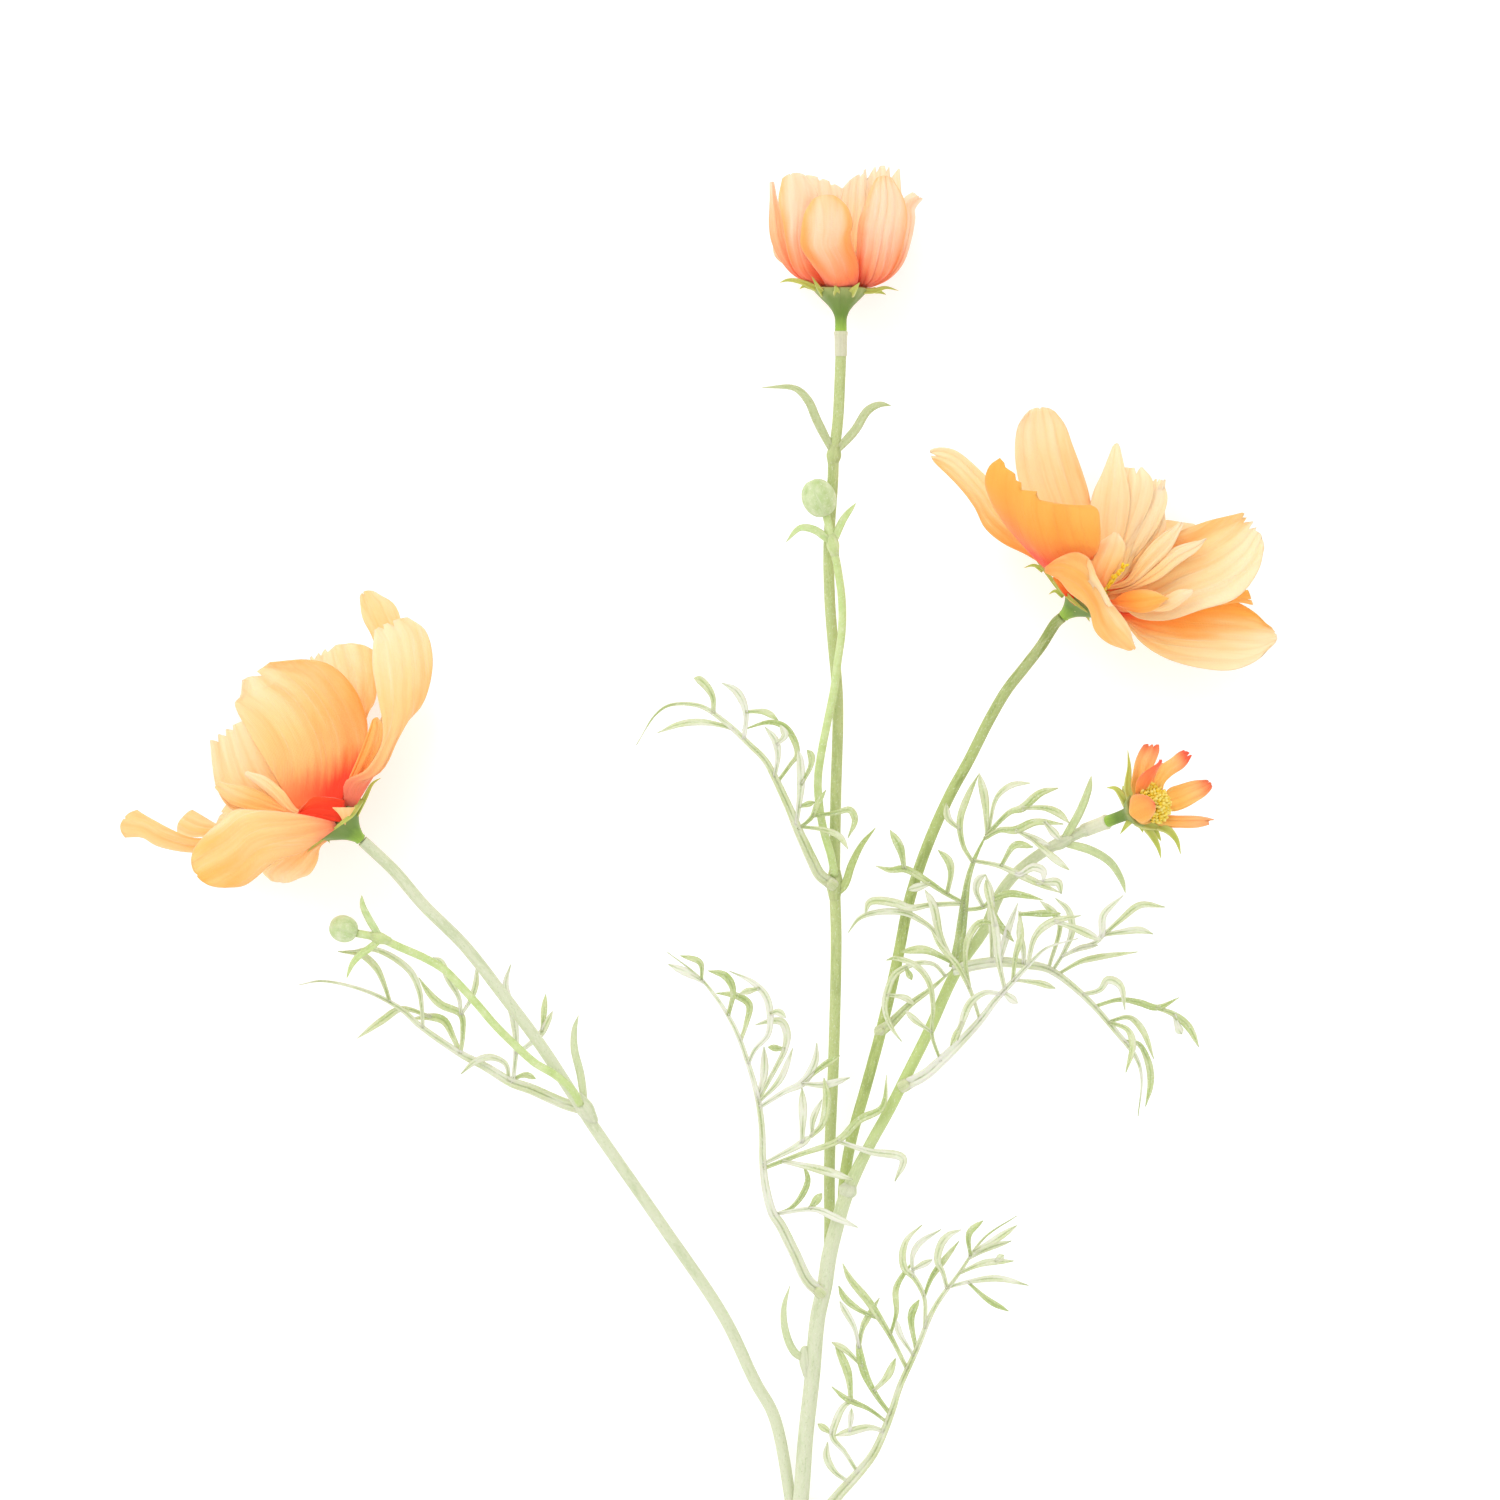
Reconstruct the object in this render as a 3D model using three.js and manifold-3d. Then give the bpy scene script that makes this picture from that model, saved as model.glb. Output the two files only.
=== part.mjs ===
// A branched cosmos spray lying on a flat surface, in millimetres, +Z up.
// The stem runs along Y with its cut end low and the tallest bloom at the top.
import * as THREE from 'three';
import { mergeVertices } from 'three/addons/utils/BufferGeometryUtils.js';
import Module from 'manifold-3d';

const wasm = await Module();
wasm.setup();

// Driving dimensions
const GAP = 0.3;
const STEM_RADIUS = 1.1;
const TRUNK_RADIUS = 1.55;
const CUT_END_RADIUS = 2.1;
const BUD_STALK_RADIUS = 0.8;
const PETAL_THICKNESS = 0.6;
const BLADE_RADIUS = 0.78;
const BLADE_HALF_THICKNESS = 0.46;
const RACHIS_RADIUS = 0.95;
const CALYX_RIM_RADIUS = 5.4;
const DISC_RADIUS = 2.3;
const HUB_RADIUS = 3.2;
const HUB_DEPTH = 0.8;

// The middle of the spray's box in the frame of the routes below; the origin stands under it
const BOX_CENTRE = [-10.65, -51.5];

const STEM_SIDES = 8;
const BUD_STALK_SIDES = 6;
const BRACT_SIDES = 3;
const BRACT_STEPS = 3;
const RACHIS_SIDES = 4;
const BLADE_SIDES = 3;
const BLADE_STEPS = 4;
const PETAL_GRID = [4, 3];
const SMALL_PETAL_GRID = [3, 2];
const LATHE_SIDES = 8;
const CALYX_SIDES = 10;

const UP = new THREE.Vector3(0, 0, 1);
const vector = ([x, y, z]) => new THREE.Vector3(x, y, z);
const radians = THREE.MathUtils.degToRad;

const PETAL_PEACH = 0xffc58a;
const PETAL_PINK = 0xffa27a;
const PETAL_CORAL = 0xff8a5c;
const DISC_YELLOW = 0xf2c23c;
const CALYX_GREEN = 0x79a54a;
const STEM_SAGE = 0xcfdaae;
const STEM_GREEN = 0xb4cd86;
const LEAF_GREEN = 0xc9d8b6;
const BUD_GREEN = 0xb9cfa0;

// Turns a closed geometry into a solid that can be joined and cut
function toSolid(geometry) {
  const bare = geometry.clone();
  bare.deleteAttribute('normal');
  bare.deleteAttribute('uv');
  const merged = mergeVertices(bare, 1e-4);
  return new wasm.Manifold(new wasm.Mesh({
    numProp: 3,
    vertProperties: Float32Array.from(merged.attributes.position.array),
    triVerts: Uint32Array.from(merged.index.array),
  }));
}

function toGeometry(solid) {
  const mesh = solid.getMesh();
  const geometry = new THREE.BufferGeometry();
  geometry.setAttribute('position', new THREE.Float32BufferAttribute(mesh.vertProperties, 3));
  geometry.setIndex(new THREE.Uint32BufferAttribute(mesh.triVerts, 1));
  geometry.computeVertexNormals();
  return geometry;
}

const fuse = (solids) => solids.reduce((whole, solid) => whole.add(solid));

function indexedGeometry(positions, triangles) {
  const geometry = new THREE.BufferGeometry();
  geometry.setAttribute('position', new THREE.Float32BufferAttribute(positions, 3));
  geometry.setIndex(triangles);
  return geometry;
}

// A smooth route through points [x, y, z]
const smooth = (points) => new THREE.CatmullRomCurve3(points.map(vector), false, 'centripetal');

// Reads a list of sizes, spread evenly over 0 to 1
function sizeAt(sizes, share) {
  const place = share * (sizes.length - 1);
  const before = Math.min(Math.floor(place), sizes.length - 2);
  return THREE.MathUtils.lerp(sizes[before], sizes[before + 1], place - before);
}

// A closed bar along a curve. Its half width and half thickness are lists read from root to
// tip, and it ends in a point where the last half width is 0.
function bar(curve, halfWidths, halfThicknesses, sides, steps, up = UP) {
  const pointed = halfWidths[halfWidths.length - 1] === 0;
  const rings = pointed ? steps : steps + 1;
  const positions = [];
  const triangles = [];
  for (let ring = 0; ring < rings; ring++) {
    const share = ring / steps;
    const centre = curve.getPoint(share);
    const along = curve.getTangent(share);
    const across = new THREE.Vector3().crossVectors(up, along).normalize();
    const above = new THREE.Vector3().crossVectors(along, across);
    for (let side = 0; side < sides; side++) {
      const angle = Math.PI / 2 + (2 * Math.PI * side) / sides;
      const corner = centre.clone()
        .addScaledVector(across, Math.cos(angle) * sizeAt(halfWidths, share))
        .addScaledVector(above, Math.sin(angle) * sizeAt(halfThicknesses, share));
      positions.push(corner.x, corner.y, corner.z);
    }
  }
  for (let ring = 0; ring < rings - 1; ring++) {
    for (let side = 0; side < sides; side++) {
      const next = (side + 1) % sides;
      const a = ring * sides + side;
      const b = ring * sides + next;
      triangles.push(a, b, b + sides, a, b + sides, a + sides);
    }
  }
  for (let side = 1; side < sides - 1; side++) triangles.push(0, side + 1, side);
  const last = (rings - 1) * sides;
  if (pointed) {
    const apex = curve.getPoint(1);
    positions.push(apex.x, apex.y, apex.z);
    for (let side = 0; side < sides; side++) {
      triangles.push(last + side, last + (side + 1) % sides, rings * sides);
    }
  } else {
    for (let side = 1; side < sides - 1; side++) triangles.push(last, last + side, last + side + 1);
  }
  return toSolid(indexedGeometry(positions, triangles));
}

// A round stem along a route, with its radius read from root to tip
function stem(route, radii, sides = STEM_SIDES, stepsPerPoint = 1) {
  const steps = (route.length - 1) * stepsPerPoint;
  return bar(smooth(route), radii, radii, sides, steps);
}

// The same stem and its nodes, wider by the gap, for cutting what is seated against them
function stemRoom(route, radii, nodes = []) {
  const wider = stem(route, radii.map((radius) => radius + GAP));
  return fuse([wider, ...nodes.map((place) => node(place, GAP))]);
}

// A turned solid on an axis: the profile lists [radius, height] from bottom to top
function turned(profile, foot, axis, sides = LATHE_SIDES) {
  const points = profile.map(([radius, height]) => new THREE.Vector2(radius, height));
  const geometry = new THREE.LatheGeometry(points, sides);
  geometry.applyQuaternion(new THREE.Quaternion().setFromUnitVectors(new THREE.Vector3(0, 1, 0), axis));
  geometry.translate(foot.x, foot.y, foot.z);
  return toSolid(geometry);
}

// A strap bract: a narrow blade through points [x, y, z]
function bract(points, halfWidth = 0.75) {
  const widths = [0.7 * halfWidth, halfWidth, 0.8 * halfWidth, 0];
  return bar(smooth(points), widths, [0.5, 0.42, 0.36, 0.3], BRACT_SIDES, BRACT_STEPS);
}

// A blade of a feathery leaf in plan: it rises by a height from root to tip
const blade = (rise, ...path) => ({ rise, path });

// Points along the straight stretches of a bar with so many steps
const SAMPLES_PER_STEP = 8;
function chordPoints(curve, steps) {
  const ends = curve.getPoints(steps);
  return ends.slice(1).flatMap((end, index) => (
    Array.from({ length: SAMPLES_PER_STEP }, (_, sample) => (
      ends[index].clone().lerp(end, sample / SAMPLES_PER_STEP)))));
}

// A feathery leaf: blades that fork from a rachis, each sunk into what it grows from.
// A blade's root takes its place on the nearest stretch that is already there.
function featheryLeaf(rachises, blades) {
  const samples = [];
  const solids = rachises.map((route) => {
    const curve = smooth(route);
    const steps = route.length - 1;
    samples.push(...chordPoints(curve, steps));
    const radii = [1, 0.8, 0.7, 0].map((share) => share * RACHIS_RADIUS);
    return bar(curve, radii, radii, RACHIS_SIDES, steps);
  });
  for (const { rise, path } of blades) {
    const flat = path.map(([x, y]) => new THREE.Vector3(x, y, 0));
    const distance = (sample) => Math.hypot(sample.x - flat[0].x, sample.y - flat[0].y);
    const root = samples.reduce((best, sample) => (distance(sample) < distance(best) ? sample : best));
    const points = flat.map((point, index) => {
      const share = index / (flat.length - 1);
      return [point.x, point.y, root.z + rise * Math.sin((share * Math.PI) / 2)];
    });
    points[0] = root.toArray();
    const curve = smooth(points);
    const steps = THREE.MathUtils.clamp(path.length - 1, 2, BLADE_STEPS);
    samples.push(...chordPoints(curve, steps));
    const widths = [0.9, 1, 1, 0.8, 0].map((share) => share * BLADE_RADIUS);
    const thicknesses = [1, 1, 0.9, 0.8, 0.8].map((share) => share * BLADE_HALF_THICKNESS);
    solids.push(bar(curve, widths, thicknesses, BLADE_SIDES, steps));
  }
  return fuse(solids);
}

// Half width of a petal from claw to tip, as a share of its widest place
const CLAW_SHARE = 0.2;
const WIDEST_AT = 0.62;
function petalWidth(s, tipShare) {
  if (s < WIDEST_AT) {
    return CLAW_SHARE + (1 - CLAW_SHARE) * Math.sin((Math.PI / 2) * (s / WIDEST_AT)) ** 1.2;
  }
  return 1 - (1 - tipShare) * ((s - WIDEST_AT) / (1 - WIDEST_AT)) ** 2;
}

// How far a petal's end draws back at its sides and stands out in teeth
const TIP_ROUNDING = 0.2;
const TOOTH_HEIGHT = 0.03;
function petalReach(s, t) {
  const rounding = TIP_ROUNDING * Math.abs(t) ** 2.4 * s ** 3;
  const tooth = TOOTH_HEIGHT * Math.cos(t * 2 * Math.PI) * s ** 6;
  return s * (1 - rounding) - tooth;
}

// The sheet of a petal: s runs from claw to tip, t from edge to edge. Its midrib runs from the
// seat through the middle to the tip. Its inner face looks to the bloom's axis at the claw and,
// where the petal states a facing, turns to it further out.
const FACING_FROM = 0.4;
function petalSheet(bloom, petal) {
  const { seat, axis } = bloom;
  const tip = vector(petal.tip);
  const middle = vector(petal.middle);
  const outward = middle.clone().sub(seat);
  outward.addScaledVector(axis, -outward.dot(axis)).normalize();
  const root = seat.clone().addScaledVector(outward, 0.75 * HUB_RADIUS);
  const bend = middle.clone().multiplyScalar(2).addScaledVector(root, -0.5).addScaledVector(tip, -0.5);
  const midrib = new THREE.QuadraticBezierCurve3(root, bend, tip);
  const inward = axis.clone().addScaledVector(outward, -0.6);
  const facing = petal.facing ? vector(petal.facing).normalize() : inward;
  return (s, t) => {
    const reach = petalReach(s, t);
    const along = midrib.getTangent(Math.min(reach, 1));
    const turned = THREE.MathUtils.smoothstep(s, 0, FACING_FROM);
    const look = inward.clone().lerp(facing, turned);
    const across = new THREE.Vector3().crossVectors(along, look).normalize();
    const face = new THREE.Vector3().crossVectors(across, along);
    const half = petal.halfWidth * petalWidth(s, bloom.tipShare);
    return midrib.getPoint(reach)
      .addScaledVector(across, half * t)
      .addScaledVector(face, petal.cup * half * t * t);
  };
}

// A thin solid about a sheet, with both faces split into the same triangles
function sheetSolid(sheet, rows, columns, thickness) {
  const faces = [1, -1];
  const positions = [];
  const triangles = [];
  const step = 0.02;
  for (const face of faces) {
    for (let row = 0; row <= rows; row++) {
      for (let column = 0; column <= columns; column++) {
        const s = row / rows;
        const t = (2 * column) / columns - 1;
        const alongS = sheet(Math.min(s + step, 1), t).sub(sheet(Math.max(s - step, 0), t));
        const alongT = sheet(s, Math.min(t + step, 1)).sub(sheet(s, Math.max(t - step, -1)));
        const normal = alongT.cross(alongS).normalize();
        const point = sheet(s, t).addScaledVector(normal, (face * thickness) / 2);
        positions.push(point.x, point.y, point.z);
      }
    }
  }
  const wide = columns + 1;
  const layer = wide * (rows + 1);
  for (let row = 0; row < rows; row++) {
    for (let column = 0; column < columns; column++) {
      const a = row * wide + column;
      const [b, c, d] = [a + 1, a + wide + 1, a + wide];
      triangles.push(a, b, c, a, c, d);
      triangles.push(a + layer, c + layer, b + layer, a + layer, d + layer, c + layer);
    }
  }
  const edge = [];
  for (let column = 0; column < columns; column++) edge.push(column);
  for (let row = 0; row < rows; row++) edge.push(row * wide + columns);
  for (let column = columns; column > 0; column--) edge.push(rows * wide + column);
  for (let row = rows; row > 0; row--) edge.push(row * wide);
  edge.forEach((a, index) => {
    const b = edge[(index + 1) % edge.length];
    triangles.push(b, a, a + layer, b, a + layer, b + layer);
  });
  return toSolid(indexedGeometry(positions, triangles));
}

// A petal's rules: where its tip and its middle are, how wide it is, how deeply it cups and,
// where it is twisted, which way its inner face looks
const petal = (tip, middle, halfWidth, cup = 0.15, facing = null) => (
  { tip, middle, halfWidth, cup, facing });

// A bloom stands on its foot, where the neck meets the stem
function makeBloom({ foot, axis, ...rest }) {
  const bloom = {
    foot: vector(foot),
    axis: vector(axis).normalize(),
    rimRadius: CALYX_RIM_RADIUS,
    tipShare: 0.7,
    grid: PETAL_GRID,
    ...rest,
  };
  bloom.height = bloom.neck + bloom.funnel;
  bloom.seat = bloom.foot.clone().addScaledVector(bloom.axis, bloom.height + GAP + HUB_DEPTH);
  return bloom;
}

// The calyx's outline, wider by a margin: a neck that opens into a funnel
function calyxProfile(bloom, margin) {
  const { neck, height, rimRadius } = bloom;
  const funnel = height - neck;
  return [
    [0, -margin],
    [1.05 + margin, -margin],
    [1.15 + margin, neck],
    [0.38 * rimRadius + margin, neck + 0.3 * funnel],
    [0.72 * rimRadius + margin, neck + 0.62 * funnel],
    [rimRadius + margin, height - 0.4],
    [rimRadius + margin, height + margin],
    [0, height + margin],
  ];
}

// The green calyx with its ring of bracts, each a blade from the rim to a tip
function calyx(bloom) {
  const body = turned(calyxProfile(bloom, 0), bloom.foot, bloom.axis, CALYX_SIDES);
  const rimCentre = bloom.foot.clone().addScaledVector(bloom.axis, bloom.height - 0.7);
  const blades = bloom.bracts.map(({ turn, length, lean }) => {
    const outward = ringDirection(bloom.axis, turn);
    const root = rimCentre.clone().addScaledVector(outward, bloom.rimRadius - 1.6);
    const middle = rimCentre.clone().addScaledVector(outward, bloom.rimRadius + 0.45 * length);
    const tip = rimCentre.clone()
      .addScaledVector(outward, bloom.rimRadius + length * Math.cos(radians(lean)))
      .addScaledVector(bloom.axis, length * Math.sin(radians(lean)));
    const curve = new THREE.QuadraticBezierCurve3(root, middle, tip);
    return bar(curve, [1.0, 0.8, 0], [0.5, 0.4, 0.3], BRACT_SIDES, 2, bloom.axis);
  });
  return fuse([body, ...blades]);
}

// A direction square to an axis, turned about it in degrees from the highest side
function ringDirection(axis, turn) {
  const high = UP.clone().addScaledVector(axis, -UP.dot(axis)).normalize();
  return high.applyAxisAngle(axis, radians(turn));
}

// The disc: a low dome with small pointed florets on a sunflower spiral
const FLORET_COUNT = 9;
const GOLDEN_ANGLE = 137.508;
const DISC_FOOT = HUB_DEPTH + GAP;
function disc(bloom) {
  const foot = bloom.seat.clone().addScaledVector(bloom.axis, DISC_FOOT);
  const dome = turned([[0, 0], [DISC_RADIUS, 0], [DISC_RADIUS, 0.5], [0.8 * DISC_RADIUS, 1.5],
    [0, 2.1]], foot, bloom.axis);
  const florets = [];
  for (let index = 0; index < FLORET_COUNT; index++) {
    const share = Math.sqrt((index + 0.5) / FLORET_COUNT);
    const outward = ringDirection(bloom.axis, index * GOLDEN_ANGLE);
    const radius = 0.86 * DISC_RADIUS * share;
    const root = foot.clone()
      .addScaledVector(outward, radius)
      .addScaledVector(bloom.axis, 1.6 - 1.2 * share * share);
    const top = root.clone()
      .addScaledVector(outward, 0.3 * share)
      .addScaledVector(bloom.axis, 1.9);
    const curve = new THREE.LineCurve3(root, top);
    florets.push(bar(curve, [0.6, 0], [0.6, 0], 3, 1, outward));
  }
  return fuse([dome, ...florets]);
}

// Room kept free for the disc and its florets
function discRoom(bloom) {
  const foot = bloom.seat.clone().addScaledVector(bloom.axis, DISC_FOOT - GAP);
  const radius = DISC_RADIUS + 2 * GAP;
  return turned([[0, 0], [radius, 0], [radius + 0.3, 1], [radius, 4.2], [0, 4.4]], foot, bloom.axis);
}

// The petals of a bloom, rooted in one flat hub
function corolla(bloom) {
  const foot = bloom.seat.clone().addScaledVector(bloom.axis, -HUB_DEPTH);
  const top = 2 * HUB_DEPTH;
  const hub = turned([[0, 0], [HUB_RADIUS, 0], [HUB_RADIUS, top], [0, top]], foot, bloom.axis);
  const petals = bloom.petals.map((rules) => (
    sheetSolid(petalSheet(bloom, rules), ...bloom.grid, PETAL_THICKNESS)));
  const calyxRoom = turned(calyxProfile(bloom, GAP), bloom.foot, bloom.axis, CALYX_SIDES);
  return fuse([hub, ...petals]).subtract(calyxRoom).subtract(discRoom(bloom));
}

// Eight bracts round a large bloom, uneven as in life
const ringOfBracts = (offset, lengths, lean) => lengths.map((length, index) => (
  { turn: offset + (360 * index) / lengths.length, length, lean }));

const topBloom = makeBloom({
  foot: [18.2, 83.8, 16.5],
  axis: [0, 1, 0],
  neck: 3.0,
  funnel: 5.8,
  tipShare: 0.6,
  petals: [
    petal([15.4, 111.6, 28.4], [15.4, 98.6, 29.8], 6.0, 0.25),
    petal([27, 115.2, 24.8], [28.4, 99.4, 26.3], 6.4, 0.25),
    petal([9.4, 115, 22.8], [7, 99.4, 24.4], 6, 0.25),
    petal([5.4, 114.4, 15], [4.8, 99.6, 14.6], 5.6, 0.25),
    petal([33.6, 111.6, 15.6], [31.4, 100, 15.6], 5.6, 0.25),
    petal([12.4, 115.6, 6.4], [10.4, 99.4, 5], 6.2, 0.25),
    petal([20.4, 116, 5.2], [20.4, 99.4, 3.2], 6.2, 0.25),
    petal([28.4, 117.2, 9.2], [28.8, 99.4, 8.2], 6.2, 0.25),
  ],
  bracts: ringOfBracts(20, [4.4, 5.2, 6.6, 4.6, 5.0, 5.6, 6.8, 4.8], 8),
});

const TOWARDS_SKY = [0, 0, 1];
const rightBloom = makeBloom({
  foot: [62.4, 26.6, 27],
  axis: [0.7, 0.62, 0.36],
  neck: 0.8,
  funnel: 6.0,
  petals: [
    petal([37.2, 59.2, 26], [51, 48.6, 26], 5.8, 0.2, [0.3, 0.3, 0.9]),
    petal([59.6, 52.6, 46], [58.6, 43, 42], 12, 0.3, [0.4, 0.5, -0.75]),
    petal([58.2, 68, 28], [60.8, 52, 26], 6.6, 0.2, [0.3, -0.1, 0.95]),
    petal([73.6, 60.8, 13], [70.8, 47, 20], 6, 0.2, TOWARDS_SKY),
    petal([80.4, 54.6, 9], [76.6, 45.6, 16], 7.6, 0.2, [-0.1, -0.2, 1]),
    petal([102.4, 41.4, 24], [86, 37.4, 27], 9.8, 0.12, [-0.2, 0.1, 1]),
    petal([104.4, 23, 17], [89.4, 24, 21], 8, 0.12, [0, 0.2, 1]),
    petal([74.6, 20.6, 38], [65.4, 33.4, 41], 4.6, 0.2, [-0.2, 0.3, -0.9]),
    petal([92, 40, 0.9], [82, 38, 12], 9, 0.15),
    petal([52, 46, 1.6], [58, 41, 12.6], 9, 0.15),
    petal([86, 20, 1.6], [77, 25, 13], 8, 0.15),
  ],
  bracts: ringOfBracts(10, [4.2, 5, 5.8, 4.6, 5, 5.4, 5.6, 4.6], -30),
});

const leftBloom = makeBloom({
  foot: [-77.6, -18, 23],
  axis: [-0.73, 0.66, 0.2],
  neck: 0.8,
  funnel: 5.8,
  petals: [
    petal([-100, 15, 17], [-89.2, 4.6, 16], 12, 0.15, [0.1, -0.1, 1]),
    petal([-107.6, 0, 13], [-97, -5, 17], 9, 0.15, [0.1, 0, 1]),
    petal([-82, 21, 12], [-81.6, 6, 16], 7.5, 0.15, TOWARDS_SKY),
    petal([-68.6, 26.4, 34], [-70, 8, 34], 7.8, 0.3, [-0.6, 0.1, -0.8]),
    petal([-74.6, 31.8, 26], [-74.6, 12, 25], 4.8, 0.2, TOWARDS_SKY),
    petal([-109.4, -25, 33], [-97, -18, 34], 8.2, 0.2, [-0.1, 0.5, -0.85]),
    petal([-94, -25.6, 18], [-89.6, -18.2, 21.4], 6, 0.2, [-0.2, 0.4, -0.9]),
    petal([-125.8, -14.6, 24], [-110, -18.6, 21], 6, 0.15, [0.2, 0.9, 0.4]),
    petal([-112, -13.6, 14], [-99.4, -14.4, 16.6], 4.2, 0.15, [0, 0.3, 1]),
    petal([-94, 14, 1.2], [-88, 0, 9], 9, 0.15),
    petal([-106, -14, 1.4], [-95, -14, 10], 9, 0.15),
    petal([-76, 8, 5], [-79.6, -4, 13], 8, 0.15),
  ],
  bracts: ringOfBracts(30, [4.4, 5.2, 6.0, 4.6, 5.0, 5.6, 5.4, 4.8], -26),
});

const smallBloom = makeBloom({
  foot: [71.4, -14.3, 22.3],
  axis: [0.7, 0.28, 0.62],
  neck: 4.2,
  funnel: 4.2,
  rimRadius: 4.4,
  grid: SMALL_PETAL_GRID,
  petals: [
    petal([79.8, 0.8, 31], [77.4, -5.4, 30.6], 3.4, 0.3),
    petal([83, -1.8, 37], [79.2, -6.6, 33], 2.2, 0.3),
    petal([88, -0.6, 32], [83.4, -5.4, 29.4], 2.4, 0.3),
    petal([92.4, -7.4, 27], [85.6, -9, 27.6], 2.8, 0.3),
    petal([92.4, -14.2, 30], [85, -13, 29.6], 2.2, 0.3),
    petal([80.4, -15.6, 38], [77.4, -14.6, 33.8], 3.2, 0.3),
    petal([89, -14, 22], [83, -13.4, 25.6], 2.6, 0.3),
    petal([85, 0, 24], [81, -5.4, 26.6], 2.6, 0.3),
  ],
  bracts: ringOfBracts(0, [7, 6.4, 7.4, 5.6, 6.6, 7.2, 6, 6.8], 24),
});

// Where a stem ends below a bloom, clear of its neck
function stemEnd(bloom, back = GAP) {
  return bloom.foot.clone().addScaledVector(bloom.axis, -back).toArray();
}

const MAIN_ROUTE = [
  [3.6, -220, 2.1], [6.6, -190, 3.8], [9, -162, 5.6], [10.3, -150, 6.6], [11.2, -138, 7.6],
  [12.5, -126, 8.8], [13.6, -114, 10.2], [15, -107.5, 11], [15.9, -101.5, 11.8], [17.8, -94, 12.8],
  [19.6, -88.4, 13.4], [23.6, -80, 14], [28, -72, 14.3], [31, -66, 14.4], [36, -56, 14.2],
  [40, -47, 14], [42.4, -42.6, 14], [47, -36, 14.4], [50, -29, 15.4], [54, -24, 16.8],
  [61, -19, 18.6], stemEnd(smallBloom, 4), stemEnd(smallBloom),
];
const MAIN_RADII = [
  CUT_END_RADIUS, 2.05, 1.9, 1.6, TRUNK_RADIUS, TRUNK_RADIUS, TRUNK_RADIUS, TRUNK_RADIUS,
  TRUNK_RADIUS, 1.45, 1.4, STEM_RADIUS, STEM_RADIUS, STEM_RADIUS, STEM_RADIUS, STEM_RADIUS,
  STEM_RADIUS, STEM_RADIUS, STEM_RADIUS, STEM_RADIUS, STEM_RADIUS, STEM_RADIUS, STEM_RADIUS,
];

const TOP_ROUTE = [
  [15.9, -103, 11], [16, -96, 8.4], [16, -82, 8], [16.4, -62, 8.8], [16.8, -38, 10.2],
  [17, -26, 11], [17.2, -10, 12], [17.6, 10, 13.2], [16.6, 22, 13.8], [16, 30, 14.2],
  [15.8, 41, 14.8], [16.6, 54, 15.4], [16.8, 59, 15.6], [17.6, 66, 15.9], [18, 74, 16.2],
  stemEnd(topBloom, 4), stemEnd(topBloom),
];

const RIGHT_ROUTE = [
  [18.6, -92, 13], [19, -86, 10.6], [20.4, -78, 10.2], [23, -67.6, 10.4], [26, -56, 11.2],
  [29, -43, 12.4], [32, -30, 14], [35.6, -19, 16], [40, -9, 18.6], [44, -2, 20.4],
  [50, 12, 23.6], [54, 17, 25.2], [57, 20.8, 25.6], stemEnd(rightBloom, 4), stemEnd(rightBloom),
];

const LEFT_ROUTE = [
  [9.2, -160, 5.6], [8, -150, 4.4], [5.4, -134, 5.4], [2, -127, 6.6], [-4, -114, 8.6],
  [-17, -95, 11.8], [-30, -76, 14.6], [-33, -72, 15.2], [-42, -59, 17], [-50, -49, 19],
  [-58, -39, 21], [-66, -31, 23], [-72, -24, 24.6], stemEnd(leftBloom, 4), stemEnd(leftBloom),
];

const MIDDLE_BUD_ROUTE = [
  [17, -25, 12.4], [16.2, -21, 14.4], [15, -17, 15], [14, -12, 15], [13.6, -6, 15],
  [14.4, 0, 15.4], [15.6, 6, 16], [16.8, 12, 16.6], [17.6, 18, 17], [18.4, 24, 17.2],
  [18.4, 30, 17.4], [17.6, 36, 17.8], [16.6, 41, 18.2], [15, 48.2, 19],
];

const LEFT_BUD_ROUTE = [
  [-34, -71, 16.6], [-35.6, -68, 18.4], [-39, -65, 19.2], [-43, -62.6, 19.6], [-47, -59, 20],
  [-51, -55, 20.4], [-54.4, -51, 20.8], [-58, -47, 21], [-61, -44, 21.2], [-65, -41.6, 21.4],
  [-70, -39.4, 21.6], [-74, -37.6, 21.8], [-78.6, -36.6, 22],
];

const uniform = (radius) => [radius, radius];

// A thickened place on a stem, where bracts or branches leave it
function node([place, along, radius, halfLength], margin = 0) {
  const end = halfLength + margin;
  const profile = [[0, -end], [0.7 * radius + margin, -end], [radius + margin, 0],
    [0.7 * radius + margin, end], [0, end]];
  return turned(profile, vector(place), vector(along).normalize());
}

const MAIN_NODES = [
  [[19.6, -88.4, 13.4], [0.42, 0.9, 0.1], 1.9, 1.0],
  [[62, -18.6, 19.3], [0.85, 0.4, 0.25], 1.6, 1.4],
  [[11.3, -123, 9], [-0.1, 1, 0.1], 1.4, 1.8],
];
const TOP_NODES = [
  [[16.8, 59, 15.6], [0.1, 1, 0.05], 1.5, 1.4],
  [[17, -27, 11], [0, 1, 0.05], 1.7, 2],
];
const LEFT_NODES = [[[-33, -72, 15.2], [-0.5, 0.8, 0.1], 1.8, 2]];
const BUD_NODES = {
  middle: [[16.6, 41, 18.2], [-0.2, 1, 0.1], 1.3, 1.4],
  left: [[-74, -37.6, 21.8], [-1, 0.3, 0], 1.2, 1.4],
};

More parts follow.
